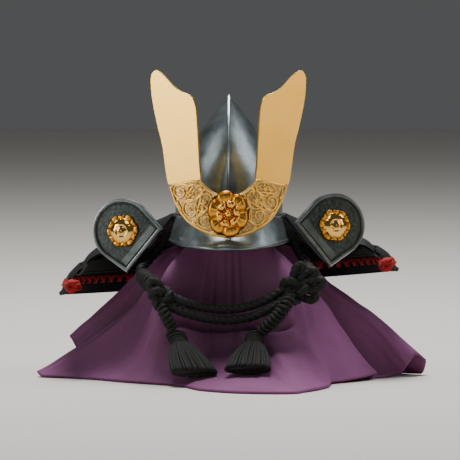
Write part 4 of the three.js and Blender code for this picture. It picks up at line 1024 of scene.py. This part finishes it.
makeCrestGround()
makeCrestScrolls()

hornSizes = {"width": 21, "height": 58.7, "place": 19.79, "overlap": 10.5, "thick": 1.2, "bevel": 0.28,
             "stand": 1.4}
hornOutline = [  # clockwise, as shares of the width and height
    (-0.13, 0), (-0.25, 0.075), (-0.365, 0.17), (-0.47, 0.43), (-0.57, 0.576), (-0.68, 0.77), (-0.715, 0.90),
    (-0.705, 0.955), (-0.655, 0.992), (-0.60, 1.0), (-0.545, 0.993), (-0.46, 0.975), (-0.37, 0.943),
    (-0.205, 0.879), (-0.04, 0.838), (0.10, 0.820), (0.19, 0.795), (0.235, 0.755), (0.27, 0.70),
    (0.305, 0.50), (0.335, 0.30), (0.36, 0.184), (0.33, 0),
]


def makeHorn(word):
    side, away = sideSigns[word], hornSizes["place"]
    line = smoothRoute([(x * hornSizes["width"], z * hornSizes["height"], 0) for x, z in hornOutline], 150)
    turn = math.atan(2 * away / crestSizes["bend"])
    c, s = math.cos(side * turn), math.sin(side * turn)
    back = hornSizes["stand"] - crestSizes["setback"] + away ** 2 / crestSizes["bend"]
    root = crestSizes["foot"] + crestSizes["height"] * crestInZ(0) - hornSizes["overlap"]
    bevel, thick, count = hornSizes["bevel"], hornSizes["thick"], len(line)
    verts = []
    for inset, depth in ((bevel, 0), (0, bevel), (0, thick - bevel), (bevel, thick)):
        for i, p in enumerate(line):
            along = (line[(i + 1) % count] - line[i - 1]).normalized()
            q = p + Vector((along.y, -along.x, 0)) * inset
            x = -side * q.x / math.cos(turn)
            verts.append((side * away + x * c - depth * s, back + x * s + depth * c, root + q.y))
    makePiece(word + "Horn", verts, tubeFaces(4, count), giltFinish, "gilt", ["horn_" + word], crisp=30)


for side in sideSigns:
    makeHorn(side)

rosetteSizes = {"width": 18.6, "height": 21.2, "proud": 3.2, "place": 75.85, "seat": 0.9, "turn": 42}


def makeRosette():
    wide, high, proud = (rosetteSizes[key] for key in ("width", "height", "proud"))
    front = -crestSizes["setback"] - crestSizes["thick"] - rosetteSizes["seat"]
    mesh = rosetteMesh(wide, high, proud, turn=math.radians(rosetteSizes["turn"]))
    makeRelief("crestRosette", mesh, proud, lambda p: Vector((p[0], front - p[2], rosetteSizes["place"] + p[1])),
               deepGiltFinish, "deep_gilt", "crest_rosette")


makeRosette()
print("crest made")


# knots, tassels and lacing clusters
knotSizes = {
    "left": {"centre": (-30, -40.2, 38.6), "size": 5.8, "bound": 2.9, "from": 0.56, "loops": [
        {"turn": 118, "length": 8.0, "width": 4.6, "forward": 0.4}]},
    "right": {"centre": (29.6, -41.4, 42.4), "size": 6.8, "bound": 2.5, "from": 0.66, "loops": [
        {"turn": 14, "length": 13.0, "width": 4.9, "forward": -0.6},
        {"turn": 76, "length": 11.0, "width": 4.9, "forward": 0.6},
        {"turn": 42, "length": 12.0, "width": 4.9, "forward": 0.2},
        {"turn": -24, "length": 10.0, "width": 4.9, "forward": 1.0}]},
}


# the cord wound round itself: a closed knot of the same twisted cord, pulled tight
def makeKnot(side):
    centre, size = Vector(knotSizes[side]["centre"]), knotSizes[side]["size"]
    k = (size - cordSizes["radius"] * 0.6) / 3
    points = [centre + Vector((k * (math.sin(t) + 2 * math.sin(2 * t)), -0.378 * size * math.sin(3 * t),
                               k * (math.cos(t) - 2 * math.cos(2 * t)))) for t in fullTurn(220)]
    parts = [ropeMesh(points, cordSizes["radius"] * 0.95, pitch=cordSizes["pitch"] * 0.9, sides=24, closed=True)]
    for loop in knotSizes[side]["loops"]:
        turn = math.radians(loop["turn"])
        heading = Vector((math.cos(turn), -0.12, math.sin(turn))).normalized()
        aside = heading.cross(Vector((0, 1, 0))).normalized()
        bow = [centre + Vector((0, loop["forward"], 0)) + heading * (loop["length"] * (0.5 - 0.5 * math.cos(t)))
               + aside * (loop["width"] / 2 * math.sin(t) * math.sin(t / 2) ** 0.6) for t in fullTurn(120)]
        parts.append(ropeMesh(bow, cordSizes["radius"] * 0.9, pitch=cordSizes["pitch"] * 0.9, sides=20,
                              closed=True))
    hanger = smoothRoute(cordRoutes[side + "Hanger"] + cordRoutes[side + "Knot"], 200)
    parts.append(coilMesh(hanger[int(len(hanger) * knotSizes[side]["from"]):-10], knotSizes[side]["bound"]))
    return makePiece(side + "CordKnot", *joinMeshes(parts), cordFinish, "dark_cord", ["knot_" + side])


fineCord = {"strands": 2, "pitch": 2.8, "sides": 10, "groove": 0.2}
wrapSizes = {"cord": 0.95, "pitch": 2.0, "from": 0.22, "core": {"left": 1.75, "right": 2.1}}


# thin cord wound closely round a stretch of the chin cord
def coilMesh(route, core):
    directions = frames(route)
    turns = routeLength(route) / wrapSizes["pitch"]
    points = []
    steps = int(turns * 18)
    for i in range(steps + 1):
        t = i / steps * (len(route) - 1)
        j = min(int(t), len(route) - 2)
        middle = route[j].lerp(route[j + 1], t - j)
        tangent, across, up = directions[j]
        angle = 2 * math.pi * turns * i / steps
        reach = core * (1 + 0.12 * math.sin(math.pi * i / steps))
        points.append(middle + across * (reach * math.cos(angle)) + up * (reach * math.sin(angle)))
    return ropeMesh(points, wrapSizes["cord"], strands=2, pitch=3.0, sides=8, groove=0.15)


def makeWrap(side):
    route = smoothRoute([cordRoutes[side + "Knot"][0]] + cordRoutes[side + "Tail"], 200)
    mesh = coilMesh(route[int(len(route) * wrapSizes["from"]):], wrapSizes["core"][side])
    return makePiece(side + "TailWrap", *mesh, cordFinish, "dark_cord")


wrapPieces = {side: makeWrap(side) for side in sideSigns}
knotPieces = {side: makeKnot(side) for side in sideSigns}

tasselSizes = {"width": 20, "thick": 6, "strands": 74, "strand": 0.55, "core": 0.86,
               "neck": (0.17, 0.205, 0.24), "knobAt": 0.07, "knob": (3.6, 2.7, 2.9), "bandApart": 0.9}
tasselPlaces = {"left": {"head": (-23.5, -42, 22.2), "foot": (-14.4, -60, 6.3)},
                "right": {"head": (12, -45.5, 21.8), "foot": (8.8, -65, 8.3)}}
tasselRows = [  # share of the length, then wide and thick as shares of their halves
    (0.0, 0.22, 0.45), (0.05, 0.34, 0.80), (0.14, 0.36, 0.90), (0.22, 0.30, 0.72),
    (0.34, 0.52, 0.90), (0.55, 0.76, 0.95), (0.8, 0.94, 0.84), (1.0, 1.0, 0.70),
]
tasselWide, tasselThick = tableCurves(tasselRows)


def makeTassel(side):
    head, foot = Vector(tasselPlaces[side]["head"]), Vector(tasselPlaces[side]["foot"])
    axis = (foot - head).normalized()
    length = (foot - head).length
    across = Vector((1, 0, 0))
    out = across.cross(axis).normalized()
    if out.z < 0:
        out.negate()
    wide, thick = tasselSizes["width"] / 2, tasselSizes["thick"] / 2

    def at(s, angle, share):
        x = tasselWide(s) * wide * math.copysign(abs(math.cos(angle)) ** 0.8, math.cos(angle)) * share
        z = tasselThick(s) * thick * math.sin(angle) * share
        return head + axis * (s * length) + across * x + out * z
    # the core closes the body; strands lie over it
    steps, ringSides = 24, 36
    core = [at(j / steps, angle, tasselSizes["core"]) for j in range(steps + 1) for angle in fullTurn(ringSides)]
    parts = [(core, tubeFaces(steps + 1, ringSides))]
    for k in range(tasselSizes["strands"]):
        angle = 2 * math.pi * (k + 0.5) / tasselSizes["strands"]
        wander = noise.noise(Vector((k * 1.7, 3.1, 0.4))) * 0.35
        end = 1.0 - 0.03 * abs(noise.noise(Vector((k * 2.3, 0.0, 5.0))))
        raised = 0.93 + 0.05 * math.sin(k * 2.4)
        line = [at(0.2 + (end - 0.2) * i / 10, angle + wander * 0.25 * (i / 10) ** 2, raised) for i in range(11)]
        parts.append(taperedTube(line, [tasselSizes["strand"] * (0.7 + 0.05 * i) for i in range(11)], 6))
    # the wrapped neck and the round top
    for s in tasselSizes["neck"]:
        ring = [at(s, angle, 1.12) for angle in fullTurn(40)]
        parts.append(ropeMesh(ring + ring[:1], 0.55, strands=2, pitch=2.6, sides=8, groove=0.2))
    middle = head + axis * (tasselSizes["knobAt"] * length)
    knobWide, knobThick, knobLong = tasselSizes["knob"]
    knob = [middle + across * (knobWide * math.cos(a) * math.cos(b)) + out * (knobThick * math.cos(b) * math.sin(a))
            + axis * (knobLong * math.sin(b))
            for b in np.linspace(-math.pi / 2, math.pi / 2, 13) for a in fullTurn(28)]
    parts.append((knob, gridFaces(13, 28, wrap=True)))
    for shift in (-tasselSizes["bandApart"], tasselSizes["bandApart"]):
        band = [middle + axis * shift + across * ((knobWide + 0.15) * math.cos(a))
                + out * ((knobThick + 0.25) * math.sin(a)) for a in fullTurn(40)]
        parts.append(ropeMesh(band + band[:1], 0.75, **{**fineCord, "pitch": 3.2}))
    return makePiece(side + "Tassel", *joinMeshes(parts), cordFinish, "dark_cord", ["tassel_" + side])


tasselPieces = {side: makeTassel(side) for side in sideSigns}


clusterSizes = {"width": 9.5, "height": 8.0, "loops": 15, "cord": 0.85, "bandCord": 0.9, "forward": 2.2,
                "bow": 1.9, "loopHalf": 0.95, "turnStep": 0.382, "liftStep": 0.618}


# red cord tied in a rounded bunch of small loops round the lame's corner
def makeCluster(word):
    side = sideSigns[word]
    corner = guardPoint(0 if side < 0 else 1, 3.55, 78)
    centre = corner - Vector((0, clusterSizes["forward"], 0))
    parts = []
    for k in range(clusterSizes["loops"]):
        turn = 2 * math.pi * k * clusterSizes["turnStep"] + 0.4 * side
        lift = 0.2 + 0.8 * ((k * clusterSizes["liftStep"]) % 1.0)
        heading = Vector((math.cos(turn), 0, math.sin(turn)))
        aside = Vector((-math.sin(turn), 0, math.cos(turn)))
        reach = lift * (clusterSizes["width"] if abs(heading.x) > 0.7 else clusterSizes["height"]) / 2 - 0.8
        loop = []
        for t in fullTurn(26):
            far = reach * (0.5 - 0.5 * math.cos(t))
            front = clusterSizes["bow"] * math.sin(math.pi * min(far / (reach + 0.01), 1)) + 0.5 * (1 - lift)
            loop.append(centre + heading * (far + 0.4) + aside * (clusterSizes["loopHalf"] * math.sin(t))
                        - Vector((0, front, 0)))
        parts.append(ropeMesh(loop, clusterSizes["cord"], **fineCord, closed=True))
    band = [centre + Vector((1.9 * math.cos(t), -1.6, 1.9 * math.sin(t))) for t in fullTurn(30)]
    parts.append(ropeMesh(band, clusterSizes["bandCord"], **fineCord, closed=True))
    makePiece(word + "RedCluster", *joinMeshes(parts), redFinish, "red_lacing", ["lacing_" + word])


for side in sideSigns:
    makeCluster(side)
print("knots, tassels and clusters made")


clothSizes = {"reach": 88.0, "level": 66.0, "half": 16.22, "corner": 4.0, "thick": 1.0,
              "columnsEach": 10, "rows": 86, "flatSide": 0.187}
# direction at the stand and at the hem, then how far out and how high at the hip, knee, foot, skirt and hem
foldRows = [
    (-18, -18, 0.212, 0.88, 0.256, 0.62, 0.352, 0.340, 0.557, 0.100, 0.720, 0),
    (-8, -8, 0.206, 0.88, 0.238, 0.62, 0.336, 0.340, 0.600, 0.095, 0.920, 0),
    (4, 4, 0.206, 0.88, 0.238, 0.62, 0.336, 0.340, 0.665, 0.095, 1.075, 0),
    (14, 16, 0.210, 0.88, 0.250, 0.62, 0.352, 0.350, 0.705, 0.100, 1.140, 0),
    (26, 22, 0.236, 0.89, 0.298, 0.64, 0.430, 0.365, 0.727, 0.170, 1.060, 0),
    (40, 35, 0.348, 0.91, 0.462, 0.73, 0.550, 0.420, 0.682, 0.185, 0.878, 0),
    (54, 50, 0.341, 0.83, 0.466, 0.64, 0.568, 0.410, 0.648, 0.180, 0.710, 0),
    (64, 76, 0.341, 0.80, 0.477, 0.60, 0.591, 0.395, 0.688, 0.190, 0.780, 0.04),
    (66, 77.5, 0.310, 0.77, 0.420, 0.53, 0.510, 0.290, 0.610, 0.090, 0.745, 0),
    (73, 85, 0.275, 0.76, 0.370, 0.47, 0.475, 0.190, 0.620, 0.040, 0.800, 0),
    # the rolled fold on the right, from its lower front edge over the top to the back
    (82, 88.6, 0.330, 0.79, 0.495, 0.53, 0.614, 0.400, 0.733, 0.245, 0.872, 0),
    (84, 88.2, 0.350, 0.82, 0.520, 0.59, 0.640, 0.470, 0.765, 0.325, 0.915, 0.082),
    (88, 92.3, 0.375, 0.85, 0.511, 0.650, 0.648, 0.522, 0.795, 0.372, 0.966, 0.155),
    (92, 96, 0.360, 0.83, 0.515, 0.60, 0.662, 0.470, 0.822, 0.311, 1.018, 0.100),
    (95, 98, 0.330, 0.79, 0.490, 0.50, 0.640, 0.340, 0.805, 0.170, 1.000, 0),
    (99, 102, 0.300, 0.78, 0.430, 0.44, 0.580, 0.190, 0.740, 0.050, 0.930, 0),
    (110, 112, 0.273, 0.76, 0.375, 0.45, 0.477, 0.180, 0.614, 0.040, 0.840, 0),
    (128, 130, 0.330, 0.83, 0.432, 0.58, 0.545, 0.280, 0.682, 0.090, 0.910, 0),
    (145, 146, 0.284, 0.76, 0.375, 0.45, 0.477, 0.180, 0.614, 0.040, 0.820, 0),
    (162, 162, 0.250, 0.79, 0.352, 0.46, 0.455, 0.200, 0.591, 0.075, 0.760, 0),
    (179, 179, 0.261, 0.82, 0.375, 0.52, 0.489, 0.260, 0.625, 0.105, 0.790, 0),
    (196, 196, 0.250, 0.76, 0.352, 0.45, 0.455, 0.180, 0.591, 0.040, 0.775, 0),
    (213, 213, 0.295, 0.79, 0.398, 0.48, 0.500, 0.210, 0.636, 0.060, 0.845, 0),
    (228, 228, 0.341, 0.83, 0.443, 0.58, 0.557, 0.290, 0.693, 0.105, 0.910, 0),
    (242, 241, 0.284, 0.76, 0.386, 0.47, 0.500, 0.200, 0.648, 0.040, 0.865, 0),
    (252, 250, 0.318, 0.79, 0.443, 0.50, 0.568, 0.215, 0.705, 0.050, 0.885, 0),
    # the flat fold on the left, from its back over the top to the edge that hangs in front
    (259, 256, 0.355, 0.81, 0.490, 0.60, 0.615, 0.410, 0.715, 0.280, 0.805, 0.150),
    (263, 259, 0.375, 0.83, 0.511, 0.655, 0.636, 0.495, 0.742, 0.374, 0.840, 0.268),
    (266.5, 261.5, 0.374, 0.80, 0.522, 0.560, 0.645, 0.392, 0.728, 0.282, 0.790, 0.205),
    (268, 263, 0.325, 0.77, 0.440, 0.47, 0.545, 0.270, 0.660, 0.130, 0.790, 0.020),
    (272, 266, 0.305, 0.77, 0.410, 0.46, 0.535, 0.210, 0.700, 0.060, 0.920, 0),
    # the second ridge and the broad panel in front of it
    (278, 271.5, 0.350, 0.80, 0.478, 0.520, 0.634, 0.345, 0.805, 0.185, 0.985, 0.030),
    (281, 274.5, 0.345, 0.79, 0.474, 0.505, 0.622, 0.320, 0.785, 0.160, 0.960, 0),
    (290, 282, 0.285, 0.82, 0.390, 0.545, 0.490, 0.285, 0.615, 0.100, 0.785, 0),
    (302, 298, 0.270, 0.86, 0.395, 0.63, 0.480, 0.300, 0.570, 0.105, 0.680, 0),
    (316, 316, 0.307, 0.91, 0.466, 0.70, 0.523, 0.330, 0.580, 0.120, 0.650, 0),
    (330, 330, 0.232, 0.88, 0.300, 0.62, 0.396, 0.340, 0.550, 0.120, 0.645, 0),
]
foldTurn = [0, 0, 0, 0.1, 0.3, 0.55, 0.8, 1]  # how far each station has turned towards the hem's direction


# a smooth closed curve through one column of the fold table
def ringCurve(column, period=0.0):
    values = [row[column] for row in foldRows]
    count = len(values)

    def value(i):
        return values[i % count] + period * (i // count)

    def slope(i):
        return meanSlope(value(i) - value(i - 1), value(i + 1) - value(i))

    def at(x):
        i = math.floor(x)
        return hermite(x - i, value(i), slope(i), value(i + 1), slope(i + 1))
    return at


def squareRadius(angle, half, corner):
    power = 2 + 10 * (1 - corner / half)
    return half / (abs(math.cos(angle)) ** power + abs(math.sin(angle)) ** power) ** (1 / power)


# points of the cloth's upper side: one line of points for each direction, from the flat top to the hem
def clothGrid():
    columns = len(foldRows) * clothSizes["columnsEach"]
    keys = 7 * np.linspace(0, 1, clothSizes["rows"]) ** 0.86
    curves = [ringCurve(0, 360), ringCurve(1, 360)] + [ringCurve(k) for k in range(2, 12)]
    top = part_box("drape")[1][2] / mm
    grid = np.zeros((clothSizes["rows"], columns, 3))
    for i in range(columns):
        row = i / clothSizes["columnsEach"]
        upper, hem, *rest = [curve(row) for curve in curves]
        reach = squareRadius(math.radians(upper), clothSizes["half"], clothSizes["corner"])
        radii = [reach - 1.2, reach, reach + 0.2] + [rest[k] * clothSizes["reach"] for k in range(0, 10, 2)]
        heights = [top, top - 1.6, clothSizes["level"] - 1.2]
        heights += [max(rest[k], 0) * clothSizes["level"] for k in range(1, 10, 2)]
        r, z, turn = (smoothCurve(range(8), values)(keys) for values in (radii, heights, foldTurn))
        angle = np.radians(upper + (hem - upper) * turn)
        grid[:, i] = np.stack([r * np.sin(angle), -r * np.cos(angle), z], axis=1)
    return grid, keys


creaseSizes = {"reach": 40, "level": 24.0, "deep": 4.8, "wide": 1.5, "roll": 2.2, "lip": 1.5,
               "rollBelow": 4.2, "rollWide": 2.8, "lipAbove": 3.4, "lipWide": 1.5}


# the crease under the cords, long soft wrinkles down each fold, and small ones across
def wrinkleCloth(grid, keys):
    wrapped = np.concatenate([grid[:, -1:], grid, grid[:, :1]], axis=1)
    normals = sheetNormals(wrapped)[:, 1:-1]
    if normals[grid.shape[0] // 2, 0][1] > 0:
        normals = -normals
    rows, columns = grid.shape[:2]
    out = grid.copy()
    for i in range(columns):
        share = i / clothSizes["columnsEach"]
        for j in range(rows):
            x, y, z = grid[j, i]
            free = min(max((keys[j] - 2.3) / 1.2, 0), 1)
            if free <= 0:
                continue
            angle = math.atan2(x, -y)
            lengthwise = noise.noise(Vector((share * 2.3, keys[j] * 0.35, 2.0)))
            finer = noise.noise(Vector((share * 6.1, keys[j] * 0.9, 7.0)))
            across = noise.noise(Vector((x * 0.09, y * 0.09, z * 0.11)))
            push = free * (0.75 * lengthwise + 0.3 * finer + 0.45 * across)
            level = creaseSizes["level"] + 1.6 * (x / 22) ** 2 + 0.6 * math.sin(x * 0.21)
            near = max(0.0, 1 - (abs(math.degrees(angle) + 2) / creaseSizes["reach"]) ** 4)
            if near > 0:
                groove = math.exp(-((z - level) / creaseSizes["wide"]) ** 2)
                swell = math.exp(-((z - level + creaseSizes["rollBelow"]) / creaseSizes["rollWide"]) ** 2)
                lip = math.exp(-((z - level - creaseSizes["lipAbove"]) / creaseSizes["lipWide"]) ** 2)
                crease = creaseSizes["roll"] * swell + creaseSizes["lip"] * lip - creaseSizes["deep"] * groove
                push += near * crease
            push *= min(1.0, (z + 1.5) / 7.0)
            out[j, i] += normals[j, i] * push
    lowest = np.where(out[:, :, 2] < 0, 0.0, out[:, :, 2])
    out[:, :, 2] = lowest + clothSizes["thick"] * 1.15 * np.exp(-lowest / 3.0)
    return out


def makeCloth():
    grid, keys = clothGrid()
    grid = wrinkleCloth(grid, keys)
    rows, columns = grid.shape[:2]
    edge = grid[0]
    inside = [edge * np.array([share, share, 1.0]) for share in (0.25, 0.5, 0.75, 0.92)]
    lines = inside + [grid[j] for j in range(rows)]
    verts = [tuple(p) for line in lines for p in line]
    faces = gridFaces(len(lines), columns, wrap=True)
    verts.append((0, 0, edge[:, 2].mean()))
    faces += [(len(verts) - 1, i, (i + 1) % columns) for i in range(columns)]
    piece = makePiece("purpleCloth", verts, faces, crepeFinish, "purple_cloth", ["drape"])
    if piece.data.polygons[0].normal.z < 0:
        piece.data.flip_normals()
    wall = piece.modifiers.new("clothThickness", "SOLIDIFY")
    wall.thickness, wall.offset = clothSizes["thick"] * mm, -1
    area = sum(polygon.area for polygon in piece.data.polygons)
    print("cloth made, its surface as a square is %.4f m a side" % math.sqrt(area))


makeCloth()


# floor and light
def makeStudio():
    mesh = bpy.data.meshes.new("paleFloor")
    mesh.from_pydata([(-3, -3, 0), (3, -3, 0), (3, 3, 0), (-3, 3, 0)], [], [(0, 1, 2, 3)])
    floor = addObject("paleFloor", mesh)
    paint = {"Base Color": toLinear("#d6d1c9"), "Roughness": 0.85}
    mesh.materials.append(startMaterial("paleFloorPaint", paint)[0])
    world = bpy.data.worlds.new("studioWorld")
    world.use_nodes = True
    sky = world.node_tree.nodes["Background"].inputs
    sky["Color"].default_value, sky["Strength"].default_value = toLinear("#eef0f2"), 0.1
    bpy.context.scene.world = world
    lamps = {
        "overheadSoftbox": {"place": (-0.05, 0.2, 1.3), "size": 0.55, "power": 25, "colour": "#ffffff"},
        "leftCard": {"place": (-1.0, -0.68, 0.3), "size": 0.4, "power": 4.6, "colour": "#fffaf0"},
        "rightCard": {"place": (1.0, -0.68, 0.3), "size": 0.36, "power": 1.7, "colour": "#ffe6b8"},
        "browCard": {"place": (-0.12, -0.85, 0.9), "size": 0.5, "power": 2.4, "colour": "#ffffff"},
        "rightSoftbox": {"place": (1.1, 0.05, 0.95), "size": 0.55, "power": 4.2, "colour": "#f4f8ff"},
        "leftSoftbox": {"place": (-1.1, 0.0, 0.95), "size": 0.45, "power": 2.0, "colour": "#f4f8ff"},
        "backLamp": {"place": (0.2, 1.0, 1.2), "size": 0.6, "power": 2, "colour": "#ffffff"},
    }
    for name, lamp in lamps.items():
        data = bpy.data.lights.new(name, "AREA")
        data.size, data.energy, data.color = lamp["size"], lamp["power"], toLinear(lamp["colour"])[:3]
        light = addObject(name, data)
        light.location = lamp["place"]
        light.visible_diffuse = not name.endswith("Card")  # cards are only mirrored, in gilt and lacquer
        light.rotation_euler = (Vector((0, 0, 0.07)) - Vector(lamp["place"])).to_track_quat("-Z", "Y").to_euler()


makeStudio()
print("studio set")
